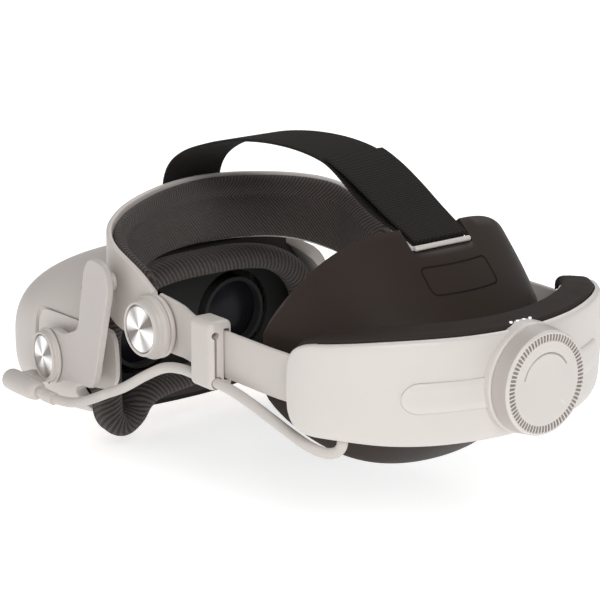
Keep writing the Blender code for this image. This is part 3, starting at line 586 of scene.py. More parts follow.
def halo_band():
    """The band round the brow, with a round boss at each temple."""
    path = spline(both_sides(HALO_PATH), 6)
    section = [
        (-0.3, 0, 0.5), (0, 0, 1.2), (0.25, 0.5, 0), (0, 1, -1.4), (-0.2, 1, -0.7), (-0.7, 1, -0.15),
        (-1.5, 1, 0), (-2.3, 1, -0.15), (-2.8, 1, -0.7), (-3, 1, -1.4), (-3, 0.5, 0), (-3, 0, 1.2),
        (-2.7, 0, 0.5), (-1.5, 0, 0),
    ]
    rings, _ = wall(path, section)
    band = skin("halo_band", rings, WHITE)
    bosses = [rod("boss", 16.4, -0.05, -2.95, temple_axis(side), WHITE, 96, 0.9) for side, _ in SIDES]
    stand_for(join(band, *bosses), "halo", "white_shell", "halo_shell")


def halo_cushion():
    """The forehead pad: a rolled top edge, a stitched channel below it and a crowned face."""
    rear_end = -3
    rows = [(x, y, top - 1.2, bottom + 1.6) for x, y, top, bottom in spline(both_sides(HALO_PATH), 8)
            if y < rear_end]
    section = [
        (0, 0, 3), (0, 0.5, 0), (0, 1, -3), (-0.8, 1, -1), (-2.2, 1, -0.1), (-3.8, 1, 0), (-5.4, 1, -0.6),
        (-6.6, 1, -1.8), (-7.5, 1, -3.6), (-7.9, 1, -5.6), (-7.8, 1, -7.6), (-7.2, 1, -9.2),
        (-6.9, 1, -10.2), (-7.3, 1, -11.4), (-8, 1, -13.4), (-8.6, 0.55, 0), (-8.7, 0.38, 0),
        (-8.2, 0.2, 0), (-7.2, 0, 3.4), (-5.6, 0, 1.2), (-3.6, 0, 0.2), (-1.6, 0, 0.4), (-0.5, 0, 1.4),
    ]
    rings, uvs = wall(rows, section, shift=-3.3)
    for end, second in ((0, 1), (-1, -2)):  # each end closes in on its middle
        middle = [sum(p[k] for p in rings[end]) / len(rings[end]) for k in range(3)]
        for index, pull in ((second, 0.06), (end, 0.26)):
            rings[index] = [tuple(a + (m - a) * pull for a, m in zip(p, middle)) for p in rings[index]]
    pad = skin("halo_cushion", rings, HALO_KNIT, uvs=uvs, angle=80)
    stand_for(pad, "halo", "knit_fabric", "halo_pad")


# ---- temple and hinge discs
def stepped_bezel(name, radius, cap, height, matrix, base):
    """A round trim that steps down from the rim of the cap to its own edge."""
    profile = [
        (cap + 0.15, height - 0.9), (cap + 0.25, height), (cap + 1.3, height), (cap + 1.9, height - 0.9),
        (radius - 1.9, height * 0.66), (radius - 1.5, height * 0.55), (radius - 1.3, height * 0.40),
        (radius - 0.3, height * 0.34), (radius, height * 0.24), (radius, 0), (3.6, 0), (3.6, height - 2.2),
        (cap + 0.15, height - 2.2),
    ]
    return lathe(name, rounded([(r, h + base) for r, h in profile], 0.5), matrix, WHITE)


def spun_cap(name, radius, lift, matrix):
    """A shallow domed disc with fine turned steps."""
    grooves = 8
    flat = radius - 1.1
    profile = [(0, lift - 0.3), (radius - 0.5, lift - 0.3), (radius, lift + 0.2), (radius, lift + 0.75),
               (radius - 0.45, lift + 1.2), (flat, lift + 1.3)]
    for k in range(1, grooves + 1):
        r = flat * (1 - k / (grooves + 1))
        profile += [(r + 0.5, lift + 1.30 + 0.03 * k), (r, lift + 1.33 + 0.03 * k)]
    profile.append((0, lift + 1.6))
    return lathe(name, profile, matrix, METAL, 128, 60)


PLATE_LEAN = math.radians(7.5)
PLATE_X, PLATE_PIVOT_Y = 96.2, -20
HINGE_Y, HINGE_Z = -82, -36


def plate_frame(side):
    """Where the leaning side plate's own flat frame sits, as in the CAD."""
    lean = Matrix.Rotation(-PLATE_LEAN, 4, "Z")
    outwards = Matrix.Translation(Vector((PLATE_X, PLATE_PIVOT_Y, 0)) * MM)
    swing = outwards @ lean @ Matrix.Translation(Vector((0, -PLATE_PIVOT_Y, 0)) * MM)
    return Matrix.Diagonal((side, 1, 1, 1)) @ swing


def pivot_trim(kind, name, matrix, radius, cap, height, cap_lift, base):
    """The trim and the metal cap of one pivot."""
    bezel = stepped_bezel(f"{kind}_ring_{name}", radius, cap, height, matrix, base)
    stand_for(bezel, "halo", "white_shell", f"{kind}_bezel_{name}")
    disc = spun_cap(f"{kind}_disc_{name}", cap, cap_lift, matrix)
    stand_for(disc, "halo", "spun_metal", f"{kind}_cap_{name}")


def discs():
    """The stepped trims and metal caps on the temple pivots and the visor hinges."""
    for side, name in SIDES:
        pivot_trim("temple", name, temple_axis(side), 16.4, 12.3, 8.2, 6.8, 0.3)
        centre = plate_frame(side) @ (Vector((2.3, HINGE_Y - 1.6, HINGE_Z)) * MM)
        normal = (side * math.cos(PLATE_LEAN), -math.sin(PLATE_LEAN), 0)
        pivot_trim("hinge", name, facing(centre / MM, normal), 15, 11.6, 4.6, 2.9, 0)


PLATE_OUTLINE = [  # y and z in the plate's own frame
    (-24, 29), (-30, 29), (-35.5, 26.5), (-39.5, 21.5), (-41.5, 15), (-43, 9.5), (-46.4, -3), (-48, -9),
    (-50.5, -13), (-55, -15.5), (-66, -19.5), (-76, -20), (-85, -21.5), (-93, -26.5), (-96.5, -36),
    (-93, -45.5), (-85, -50.5), (-76, -50), (-66, -46), (-52, -43.5), (-36, -41.5), (-31.5, -38.5),
    (-29, -33), (-27.2, -27.8), (-21, -10), (-14.8, 7.8), (-13, 13), (-12.5, 18), (-14.5, 24), (-18.5, 28),
]
ARM_OUTLINE = [  # y and z, of the arm beside the visor
    (-33.5, -16), (-31.5, -21), (-31, -34), (-33, -40.5), (-39, -44.5), (-60, -47.5), (-95, -48.5),
    (-101, -46), (-104, -40), (-104, -24), (-101, -18.5), (-95, -15.5), (-60, -14.5), (-38, -13.5),
]


def flat_plate(name, outline, low, high, radius, material):
    """A plate from x = low to x = high, with a smooth (y, z) outline and its edges rounded by radius."""
    line = spline_loop(outline, 4)
    count = len(line)
    normals = []
    for i in range(count):
        along = (Vector(line[(i + 1) % count]) - Vector(line[i - 1])).normalized()
        normals.append((-along.y, along.x))
    rings = []
    turns = (0, 30, 60, 90)
    for x, inward, turn in [(low, 1, t) for t in turns] + [(high, -1, t) for t in reversed(turns)]:
        a = math.radians(turn)
        inset = radius * (1 - math.sin(a))
        edge_x = x + inward * radius * (1 - math.cos(a))
        rings.append([(edge_x, y + n[0] * inset, z + n[1] * inset) for (y, z), n in zip(line, normals)])
    plate = skin(name, rings, material, angle=50)
    even = plate.modifiers.new("even_shading", "WEIGHTED_NORMAL")
    even.keep_sharp = True
    return plate


def side_plates():
    """The leaning plates that carry the visor, and the visor's own arms behind them."""
    for side, name in SIDES:
        plate = flat_plate(f"side_plate_{name}", PLATE_OUTLINE, -2, 2, 0.9, PLATE)
        plate.data.transform(plate_frame(side))
        arm = flat_plate(f"visor_arm_{name}", ARM_OUTLINE, 80.8, 83.4, 0.7, WHITE)
        if side < 0:
            arm.data.transform(Matrix.Diagonal((-1, 1, 1, 1)))
            for mirrored in (plate, arm):
                mirrored.data.flip_normals()
        boss = rod("boss", 5, 0, 7, plate_frame(side) @ facing((-8, -26, 17), (1, 0, 0)), PLATE,
                   edge=0.4)
        stand_for(join(plate, boss), "halo", "white_shell", f"bracket_plate_{name}")
        stand_for(arm, "headset", "white_shell", f"headset_arm_{name}")


# ---- rear arms and cable clip
ARM_PATH = [  # x, y, top and bottom, from the temple to the housing
    (81.6, 8, 16.6, -12.5), (81.6, 20, 15.5, -12.6), (82.4, 28, 14.9, -12), (84.6, 36, 14.4, -11.2),
    (87.6, 47, 13.9, -10.4), (89, 56, 13.6, -10), (89, 75, 13.6, -10), (89, 105, 13.6, -10),
    (88.2, 121, 13.5, -9.8), (87.6, 131, 13.3, -9.5), (87.6, 140, 13.3, -9.5),
]


def rear_arms():
    """The two flat arms, each with a disc that turns behind its temple trim."""
    section = [
        (-0.1, 0, 0.9), (0.05, 0.5, 0), (-0.1, 1, -0.9), (-0.35, 1, -0.3), (-0.9, 1, 0), (-1.7, 1, 0),
        (-2.3, 1, -0.3), (-2.6, 1, -0.9), (-2.6, 0.5, 0), (-2.6, 0, 0.9), (-2.3, 0, 0.3), (-1.7, 0, 0),
        (-0.9, 0, 0), (-0.35, 0, 0.3),
    ]
    washer = rounded([(3.4, -6.1), (13.5, -6.1), (13.5, -3.7), (3.4, -3.7)], 0.4)
    for side, name in SIDES:
        rings, _ = wall(spline(ARM_PATH, 6), section)
        rings = [[(side * x, y, z) for x, y, z in ring] for ring in rings]
        arm = skin(f"rear_arm_{name}", rings, WHITE, angle=50)
        disc = lathe("disc", washer, temple_axis(side), WHITE, 64)
        stand_for(join(arm, disc), "rear_arms", "white_shell", f"arm_{name}")


def cable_clip():
    """The sliding clip: the arm runs through its slot, and the cable through a bore at its foot."""
    y, cable_x, mouth_x = 63.5, 93.2, 94
    body = brick("clip_body", (90.4, y, 1.6), (13.4, 18, 34), 3, 6)
    carve(
        body,
        brick("slot", (87.6, y, 2), (3.6, 60, 25.6), 0.8, 2),
        rod("bore", 3, -40, 40, facing((cable_x, y, -11.6), (0, 1, 0))),
        rod("tip", 1.9, -40, 40, facing((mouth_x, y, 12), (0, 1, 0))),
        brick("mouth", (mouth_x, y, 0), (1.4, 60, 23)),
    )
    stand_for(body, "clip", "white_shell", "cable_clip")


# ---- visor
RING_POINTS = 96
VISOR_OUTER = [  # y, half width, top, bottom and squareness of each ring, from the front
    (-151, 30, -30, -60, 2.6), (-150.2, 52, -17, -71, 2.6), (-147, 69, -6.5, -79, 2.7),
    (-141, 76.8, -1, -83, 2.8), (-132, 81.2, 3.4, -85, 2.9), (-118, 83.6, 8.4, -85.6, 3),
    (-100, 84, 13.2, -84.6, 3), (-86, 83.6, 16, -83, 3), (-76.4, 83.2, 17.2, -81.6, 3),
]
VISOR_INNER = [  # the same for the inner wall, from the face
    (-76, 76.5, 14.7, -79, 3), (-100, 76.6, 10.7, -82, 3), (-118, 76.2, 6.3, -82.8, 3),
    (-131, 73.6, 1.2, -82, 2.9), (-139.5, 68.2, -3.8, -79.8, 2.8), (-145, 60.6, -10.5, -75.4, 2.7),
    (-148, 46, -21, -67.4, 2.6),
]


def oval(y, half, top, bottom, power):
    """A ring across the visor: an ellipse squared off by power."""
    ring = []
    mid, high = 0.5 * (top + bottom), 0.5 * (top - bottom)
    for i in range(RING_POINTS):
        a = 2 * math.pi * (i + 0.5) / RING_POINTS
        c, s = math.cos(a), math.sin(a)
        reach = (abs(c) ** power + abs(s) ** power) ** (-1 / power)
        ring.append((half * c * reach, y, mid + high * s * reach))
    return ring


def ease(t):
    """A smooth step from 0 to 1."""
    t = min(1, max(0, t))
    return t * t * (3 - 2 * t)


def fit_to_face(x, y, z):
    """Lifts the lower edge over the nose, and draws the side walls back behind the side plates."""
    nose_lift, nose_half_width = 10.5, 62
    rear = ease((y + 124) / 40)
    middle = max(0, 1 - (x / nose_half_width) ** 2)
    low = min(1, max(0, (-50 - z) / 25))
    z += nose_lift * rear * middle * low
    flank = ease((abs(x) - nose_half_width) / 12) * ease((12 - z) / 9) * ease((z + 56) / 10)
    return x, y + 18 * flank * max(0, (y + 90) / 14), z


def visor_shell():
    """The visor's case, open towards the face."""
    outer = [oval(*row) for row in spline(VISOR_OUTER, 5)]
    lip = [oval(-76.1, 82.9, 16.9, -81.3, 3), oval(-76, 82.3, 16.4, -80.8, 3)]
    inner = [oval(*row) for row in VISOR_INNER]
    rings = [[fit_to_face(*p) for p in ring] for ring in outer + lip + inner]
    shell = skin("visor_shell", rings, WHITE, angle=40)
    for side, _ in SIDES:
        carve(
            shell,
            brick("recess", (side * 90.4, -79, -32), (20, 58, 37), 3.5, 5),
            rod("bore", 6, 8, -12, facing((side * 80, HINGE_Y, HINGE_Z), (side, 0, 0)), WHITE, 32),
        )
    for x, z in ((59, -17), (-59, -17), (64, -65), (-64, -65)):
        carve(shell, rod("window", 5.2, 30, -12, facing((x, -140, z), (0, -1, 0))))
    carve(
        shell,
        brick("port", (82, -104, -56), (28, 10.6, 4.6), 1.2, 3),
        rod("key", 3.9, 14, -14, facing((-82, -122, -30), (1, 0, 0)), WHITE, 32),
        brick("rocker", (-24, -118, -82), (22.8, 5.8, 16), 1.5, 3),
    )
    stand_for(shell, "headset", "white_shell", "headset_front_shell")


PAD_PATH = [  # x, y, z along the left half of the roll
    (0, -66.5, 4), (24, -66.3, 3.4), (44, -65.6, -0.5), (58, -64.6, -9.5), (66.5, -63.8, -23),
    (67.5, -63.4, -40), (67.5, -63.4, -58), (66.5, -63.4, -69.5), (60.5, -63.8, -75), (52.5, -64.4, -71.5),
    (46.5, -65, -64.5), (37.5, -65.6, -60.2), (20, -66.2, -58.6), (0, -66.5, -58),
]


def face_cushion():
    """The soft rim that meets the face: a crowned roll with a sewn edge at its front."""
    left = [(-row[0], *row[1:]) for row in reversed(PAD_PATH[1:-1])]
    loop = spline_loop(PAD_PATH + left, 7)
    section = [
        (4.2, -7.4), (5.6, -6.6), (6.3, -5), (6.1, -3.6), (6.6, -2), (7, 1), (6.9, 4), (6.1, 6.6),
        (4.4, 8.4), (2, 9.3), (-0.8, 9.3), (-3.6, 8.3), (-5.4, 6.4), (-6.4, 3.6), (-6.7, 0), (-6.5, -4),
        (-5.6, -6.8), (-4.2, -7.4),
    ]
    lengths = [0]
    for a, b in zip(section, section[1:]):
        lengths.append(lengths[-1] + math.dist(a, b))
    rings, uvs = [], []
    travelled = 0
    for i, p in enumerate(loop):
        a, b = loop[i - 1], loop[(i + 1) % len(loop)]
        along = Vector((b[0] - a[0], 0, b[2] - a[2])).normalized()
        out = Vector((-along.z, 0, along.x))
        under_nose = max(0, 1 - (p[0] / 44) ** 2) if p[2] < -40 else 0
        slim = 1 - 0.30 * under_nose
        rings.append([tuple(Vector((p[0], p[1] + dy, p[2])) + out * off * slim) for off, dy in section])
        uvs.append([(travelled * MM, s * MM) for s in lengths])
        travelled += math.dist(p, loop[(i + 1) % len(loop)])
    pad = skin("face_cushion", rings, FACE_KNIT, loop=True, uvs=uvs, angle=80)
    mend_seam(pad, len(section), travelled * MM)
    stand_for(pad, "headset", "knit_fabric", "face_pad")


def mend_seam(pad, count, total):
    """Gives the faces that close the loop a UV that runs on instead of jumping back."""
    layer = pad.data.uv_layers[0].data
    last = len(pad.data.vertices) - count
    for face in pad.data.polygons:
        indices = [pad.data.loops[k].vertex_index for k in face.loop_indices]
        if max(indices) >= last and min(indices) < count:
            for k, v in zip(face.loop_indices, indices):
                if v < count:
                    layer[k].uv = (total, layer[k].uv[1])


# ---- rear housing
DIAL_Z = 2
HOUSING_C, HOUSING_R = 73, 115
HOUSING_PATH = [  # x, y, top and bottom, from the dial to the left end
    (0, 188, 26, -25), (12, 187.4, 26, -25), (24, 185.4, 26, -25), (36, 182.2, 26, -25),
    (48, 177.4, 26, -25), (60, 171, 25.8, -24.6), (70, 164.2, 25.4, -23.8), (79, 156.4, 24.6, -22.6),
    (86.5, 147.4, 23.6, -21.6), (90.6, 141.2, 23, -21), (92.6, 136.8, 22.2, -20.2),
    (93.8, 132.8, 20.6, -18.6), (94.3, 130, 18.2, -16.2), (94.5, 128.2, 14.6, -12.6),
]
DEPTH = 20.6  # from the outer face to the inner wall beside the head rest


def housing_shell():
    """The curved battery case, hollow, with a mouth for each arm and a round seat for the dial."""
    path = spline(both_sides(HOUSING_PATH), 5)
    section = [
        (-3.4, 0, 0), (-1.9, 0, 0.5), (-0.9, 0, 1.5), (-0.2, 0, 3.2), (0.15, 0, 6), (0.5, 0.35, 0),
        (0.6, 0.5, 0), (0.5, 0.7, 0), (0.1, 1, -5), (-0.15, 1, -2), (-0.5, 1, -0.9), (-1.1, 1, -0.3),
        (-1.9, 1, 0), (-3.4, 1, 0.1), (-DEPTH, 1, 0.1), (-DEPTH, 0.5, 0), (-DEPTH, 0, 3),
        (-DEPTH + 3, 0, 0),
    ]
    rings, _ = wall(path, section, side=-1)
    for ring, row in zip(rings, path):  # the wall thins towards its ends
        keep = 1 - 0.35 * max(0, (abs(row[0]) - 80) / 15.2)
        edge = Vector((ring[6][0], ring[6][1], 0))
        for j, p in enumerate(ring):
            flat = edge + (Vector((p[0], p[1], 0)) - edge) * keep
            ring[j] = (flat.x, flat.y, p[2])
    shell = skin("housing_shell", rings, PALE, angle=46)
    inner = [(-3.2, 0, 2.6), (-2.4, 0.5, 0), (-3.2, 1, 8), (-DEPTH + 1.3, 1, 8), (-DEPTH + 1.3, 0, 2.6)]
    rows = [row for row in path if abs(row[0]) < 90]
    cavity, _ = wall(rows, inner, side=-1)
    carve(shell, skin("cavity", cavity, PALE), angle=46)
    for side, _ in SIDES:
        carve(
            shell,
            brick("mouth", (side * 86.9, 121, 2), (5, 24, 26), 0.8, 2),
            brick("slot", (side * 86.2, 131, 2), (3.9, 22, 26), 0.5, 2),
            angle=46,
        )
    cable_hole = facing((*CABLE[-1][:2], -24), (0, 0, 1))
    carve(shell, rod("hole", 3.2, 9, -9, cable_hole, PALE, 32), angle=46)
    stand_for(shell, "housing", "white_shell", "rear_housing_shell")
    ring = rounded([(0, 3.3), (25.6, 3.3), (26.5, 2.4), (26.5, -6), (0, -6)], 0.6)
    boss = lathe("dial_seat", ring, facing((0, 187, DIAL_Z), (0, 1, 0)), PALE)
    stand_for(boss, "housing", "white_shell")


def raised_tongue():
    """The long low pad either side of the dial: a crowned strip with round ends and a fine shut line."""
    reach, half, middle = 62, 7.3, DIAL_Z - 2.7
    stations = [reach - half * (1 - math.cos(math.radians(7.5 * k))) for k in range(13)]
    stations += [reach - half - 4 * k for k in range(1, 9)]
    crown = [(-0.5, 1), (0, 0.93), (0.1, 0.5), (0.15, 0)]  # above the lift, share of the half height
    for side, name in SIDES:
        for kind, grow, lift, material in (("pad", 0, 1.35, PALE), ("line", 0.35, 0.72, SEAM)):
            section = [(-1.5, -1)] + [(lift + rise, -share) for rise, share in crown]
            section += [(off, -share) for off, share in reversed(section[:-1])]
            rings = []
            for x in stations:
                y = HOUSING_C + math.sqrt(HOUSING_R ** 2 - x * x)
                inside = min(1, (reach - x) / half)
                tall = (half + grow) * math.sqrt(max(0.0004, inside * (2 - inside)))
                out = Vector((x, y - HOUSING_C, 0)).normalized()
                ring = [Vector((x, y, middle + share * tall)) + out * off for off, share in section]
                rings.append([(side * p.x, p.y, p.z) for p in ring])
            strip = skin(f"tongue_{kind}_{name}", rings, material, angle=50)
            stand_for(strip, "housing", "white_shell")


def top_cover():
    """The dark lid along the top of the housing, with four lit dots over the dial."""
    rows = [(x, y, top + 2.2, top - 1.2) for x, y, top, _ in spline(both_sides(HOUSING_PATH), 6)
            if abs(x) < 94.2]
    section = [
        (-3.8, 0, 0), (-3.8, 0.5, 0), (-4.2, 0.8, 0), (-5, 1, -0.3), (-7, 1, 0.1), (-10, 1, 0.45),
        (-13, 1, 0.8), (-16.6, 1, 0.95), (-18.4, 1, 0.6), (-19, 1, -0.2), (-19, 0, 0),
    ]
    rings, _ = wall(rows, section, side=-1)
    cover = skin("housing_cover", rings, COVER, angle=45)
    stand_for(cover, "housing", "dark_shell", "rear_top_cover")
    lens = rounded([(0, 0.30), (0.55, 0.25), (0.55, -1), (0, -1)], 0.1)
    for i in range(4):
        x = -5.6 + 4 * i
        dot = lathe(f"led_lens_{i + 1}", lens, facing((x, 182.2 - x * x / 220, 28.35), (0, 0, 1)), LAMP, 32)
        stand_for(dot, "housing", "light_guide")


# ---- dial
def dial():
    """The fit dial: recessed grip ticks round the rim of its face, and a finger arc."""
    radius, face, base = 25, 11, 1.9
    ticks, per_tick = 72, 6
    tick_depth, arc_depth = 0.7, 0.45
    steps = ticks * per_tick
    radii = [13, 13.9, 14.15, 14.45, 14.75, 15, 17.5, 19.6, 20, 20.35, 21.8, 23.2, 23.55, 23.9]
    rim = [(24.3, face - 0.15), (24.7, face - 0.5), (radius, face - 1.1), (radius + 0.3, face - 4),
           (radius + 0.9, base), (radius - 2, base)]
    rings = []
    for s in range(steps):
        angle = 2 * math.pi * s / steps
        turn = math.degrees(angle)
        in_tick = s % per_tick < per_tick // 2
        ring = []
        for r in radii:
            height = face
            if in_tick and 20.2 < r < 23.4:
                height -= tick_depth
            if 14.1 < r < 14.8 and 30 < turn < 165:
                height -= arc_depth
            ring.append((r * math.cos(angle), r * math.sin(angle), height))
        ring += [(r * math.cos(angle), r * math.sin(angle), height) for r, height in rim]
        rings.append(ring)
    knob = turned_mesh("dial_face", rings, PALE, 30)
    knob.data.materials.append(DIAL_SIDE_SHADE)
    knob.data.materials.append(TICK_RECESS_SHADE)
    side_shade, recess_shade = 1, 2  # places in the list of materials
    # Painted shade: the side wall and the recesses of the face take the darker copies of the white.
    for facet in knob.data.polygons:
        reach = math.hypot(facet.center.x, facet.center.y) / MM
        height = facet.center.z / MM
        if reach > 24.9 and height < face - 1.2:
            facet.material_index = side_shade
        elif 13.5 < reach < 23.9 and base + 1 < height < face - 0.3:
            facet.material_index = recess_shade
    knob.matrix_world = facing((0, 189, DIAL_Z), (0, 1, 0))
    stand_for(knob, "dial", "white_shell", "dial_knob")


# ---- cradle
CRADLE_HALF_WIDTH, CRADLE_CENTRE_Y, CRADLE_REACH = 80.5, 70, 93.5
CRADLE_MIDDLE_Z = 6
CRADLE_SPREAD = math.radians(78)


def cradle_lean(z):
    """How far out the cradle stands at a height: 1 in the middle, less where it closes in on the head."""
    if z > 14:
        return 1 - 0.45 * ((z - 14) / 46) ** 1.25
    if z < -18:
        return 1 - 0.38 * ((-18 - z) / 36) ** 1.4
    return 1


def cradle_half_width(lean):
    """It narrows less than it closes in."""
    return CRADLE_HALF_WIDTH * (0.62 + 0.38 * lean)


def cradle_point(angle, z):
    """The point of the outer surface at an angle from the rear, seen from above, and a height."""
    lean = cradle_lean(z)
    y = CRADLE_CENTRE_Y + CRADLE_REACH * math.cos(angle) * lean
    return Vector((cradle_half_width(lean) * math.sin(angle), y, z))


def inwards(p, reach):
    """The point moved towards the middle of the head."""
    centre = Vector((0, 62, p.z * 0.35))
    return p + (centre - p).normalized() * reach


def cradle_grid(scale, inset, columns, rows, crown=0):
    """Points over the cradle's outline, made smaller by scale, and set inwards by inset and a swelling."""
    grid = [[] for _ in range(rows + 1)]
    for i in range(columns + 1):
        u = -1 + 2 * i / columns
        top = 14 + 47.5 * (1 - abs(u) ** 3.2) ** 0.8
        bottom = -13 - 40.5 * (1 - abs(u) ** 2.4) ** 0.8
        top = CRADLE_MIDDLE_Z + (top - CRADLE_MIDDLE_Z) * scale
        bottom = CRADLE_MIDDLE_Z + (bottom - CRADLE_MIDDLE_Z) * scale
        for j, row in enumerate(grid):
            v = j / rows
            p = cradle_point(u * CRADLE_SPREAD * scale, bottom + v * (top - bottom))
            swell = crown * (1 - (2 * v - 1) ** 4) * (1 - u ** 4)
            row.append(inwards(p, inset + swell))
    return grid


def sheet_body(name, outer, inner, material, angle=45, uvs=None):
    """A closed body between two grids of points."""
    rows, columns = len(outer), len(outer[0])
    points = [tuple(p) for row in outer + inner for p in row]
    total = rows * columns
    faces = []
    for j in range(rows - 1):
        for i in range(columns - 1):
            a = j * columns + i
            quad = (a, a + 1, a + columns + 1, a + columns)
            faces.append(quad)
            faces.append(tuple(total + k for k in reversed(quad)))
    rim = list(range(columns))
    rim += [j * columns + columns - 1 for j in range(1, rows)]
    rim += [(rows - 1) * columns + i for i in range(columns - 2, -1, -1)]
    rim += [j * columns for j in range(rows - 2, 0, -1)]
    for k, a in enumerate(rim):
        b = rim[(k + 1) % len(rim)]
        faces.append((a, b, b + total, a + total))
    return piece(name, points, faces, material, uvs, angle)


def cradle():
    """The head rest: a dark shell with an outlined plaque, and a soft pad inside it."""
    outer = cradle_grid(1, 0, 72, 48)
    inner = [[inwards(p, 3) for p in row] for row in outer]
    shell = sheet_body("cradle_body", outer, inner, DARK)
    carve(shell, brick("notch", (0, 118, 58.5), (38, 40, 14), 1.5, 3), angle=45)
    edge_round(shell, 0.7, 55)
    stand_for(shell, "housing", "dark_shell", "cradle_shell")
    plaque()
    face = cradle_grid(0.86, 4.4, 60, 40)
    back = cradle_grid(0.86, 7.6, 60, 40, 3.6)
    uvs = [(p.x * MM, -p.z * MM) for row in face + back for p in row]
    pad = sheet_body("cradle_cushion_soft", face, back, CUSHION_KNIT, 80, uvs)
    stand_for(pad, "housing", "knit_fabric", "cradle_cushion")


def plaque():
    """The rounded rectangle on the back of the upper lobe: a thin dark line, left blank inside."""
    half_w, low, high, r = 20.5, 35, 46, 2.5
    side, line_half_width = half_w - r, 0.52
    corners = []
    for cx, cz, start in ((side, high - r, 0), (-side, high - r, 90), (-side, low + r, 180),
                          (side, low + r, 270)):
        for k in range(6):
            a = math.radians(start + 18 * k)
            corners.append((cx + r * math.cos(a), cz + r * math.sin(a)))
    line = []
    for i, (x, z) in enumerate(corners):
        nx, nz = corners[(i + 1) % len(corners)]
        parts = 12 if math.hypot(nx - x, nz - z) > 3 else 1
        for k in range(parts):
            line.append((x + (nx - x) * k / parts, z + (nz - z) * k / parts))
    route = []
    for x, z in line:
        angle = math.asin(x / cradle_half_width(cradle_lean(z)))
        route.append(cradle_point(angle, z))
    rings = []
    for i, p in enumerate(route):
        along = (route[(i + 1) % len(route)] - route[i - 1]).normalized()
        out = (p - inwards(p, 1)).normalized()
        across = along.cross(out)
        rings.append([
            tuple(p + across * (line_half_width * math.cos(a)) + out * (0.12 + 0.14 * math.sin(a)))
            for a in (2 * math.pi * k / 8 for k in range(8))
        ])
    ring = skin("plaque_groove", rings, GROOVE, loop=True, angle=70)
    stand_for(ring, "housing", "dark_shell")


# ---- top strap
STRAP_W, STRAP_T = 38, 1.5
STRAP_SPLIT_Y = 58
STRAP_PATH = [  # y and z, from the halo to the rear bar
    (-77.2, 37), (-77.4, 50), (-71, 61), (-58, 69.5), (-40, 76), (-20, 81.5), (0, 85), (20, 86.8),
    (40, 86.8), (58, 84.6), (74, 79.5), (90, 72), (104, 64.5), (116, 58.6), (124.6, 54.6),
]


def webbing(name, line, lift, sag=0):
    """A flat woven strap with rolled selvedges along a side-view line of (y, z), narrower at the rear bar."""
    half, t = STRAP_W / 2, STRAP_T / 2
    selvedge = [(half, 0), (half - 0.25, t * 0.8), (half - 0.9, t), (half - 1.6, t * 0.86), (half - 2.4, t)]
    columns = 10
    top = selvedge + [((half - 2.4) * (1 - 2 * k / columns), t) for k in range(1, columns)]
    top += [(-x, h) for x, h in reversed(selvedge)]
    section = top + [(-x, -h) for x, h in top[1:-1]]
    rings, uvs = [], []
    travelled = 0
    for i, (y, z) in enumerate(line):
        a, b = line[max(i - 1, 0)], line[min(i + 1, len(line) - 1)]
        along = Vector((0, b[0] - a[0], b[1] - a[1])).normalized()
        up = Vector((0, -along.z, along.y))
        back = min(1, max(0, (y - STRAP_SPLIT_Y) / 66))
        middle = Vector((0, y, z)) + up * (lift - sag * math.sin(math.pi * back) ** 2)
        slim = 1 - 0.13 * back * back
        if i:
            travelled += math.dist(line[i - 1], line[i])
        rings.append([tuple(middle + Vector((x * slim, 0, 0)) + up * h) for x, h in section])
        uvs.append([(travelled * MM, (x + half) * MM) for x, h in section])
    return skin(name, rings, STRAP_WEAVE, uvs=uvs, angle=70)


def top_strap():
    """The strap in two lengths that meet, its doubled end, the stitches there and the bar it turns round."""
    sag = 4
    line = spline(STRAP_PATH, 8)
    front = [p for p in line if p[0] < STRAP_SPLIT_Y + 2.5]
    rear = line[len(front) - 1 :]
    strap = webbing("strap_webbing_main", front, 0, sag)
    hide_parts("top_strap")
    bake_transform(strap)
    lower = webbing("strap_webbing_rear", rear, 0, sag)
    fold = webbing("strap_webbing_tail", rear, STRAP_T + 0.5)
    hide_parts("strap_tail")
    stitch = []
    for k in range(2):
        y = 63.5 + 2.4 * k
        z = 84.6 - (y - 58) * 0.30 + STRAP_T * 1.5 - 0.22
        for i in range(15):
            x = -16 + i * 32 / 14
            stitch.append(brick("stitch", (x, y, z), (1.5, 0.45, 0.35), 0.15, 2, STRAP_WEAVE))
    stitches = join(*stitch)
    stitches.name = "strap_stitches"
    for cloth in (lower, fold, stitches):
        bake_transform(cloth)
    bar = rod("strap_end_bar", 1.3, -17.4, 17.4, facing((0, 127.2, 53.6), (1, 0, 0)), WHITE, 24, 0.5)
    stand_for(bar, "housing", "white_shell", "strap_bar")


# ---- cable
CABLE = [  # x, y, z, from the plug to the housing
    (101.2, -76.6, -53), (100.6, -66, -53.6), (98, -52, -53), (96.5, -38, -48.5), (95, -22, -41),
    (94.4, -6, -33.5), (93.8, 12, -23), (93.4, 28, -15), (93.2, 42, -11.9), (93.2, 56, -11.6),
    (93.2, 72, -11.6), (93, 84, -12.4), (92.2, 98, -15.4), (90.6, 112, -19.8), (88.6, 124, -24.2),
    (86.2, 134, -27.8), (83.2, 141.2, -29.6), (80.4, 146.2, -28.6), (78.6, 148.4, -25), (78.3, 148.6, -18),
]
CABLE_R = 2.6


def hose(name, line, radius, material):
    """A round tube along a line of points, without twist."""
    steps = 20
    rings = []
    up = Vector((0, 0, 1))
    for i, p in enumerate(line):
        along = (Vector(line[min(i + 1, len(line) - 1)]) - Vector(line[max(i - 1, 0)])).normalized()
        side = along.cross(up).normalized()
        up = side.cross(along).normalized()
        rings.append([tuple(Vector(p) + (side * math.cos(a) + up * math.sin(a)) * radius)
                      for a in (2 * math.pi * k / steps for k in range(steps))])
    return skin(name, rings, material, angle=60)


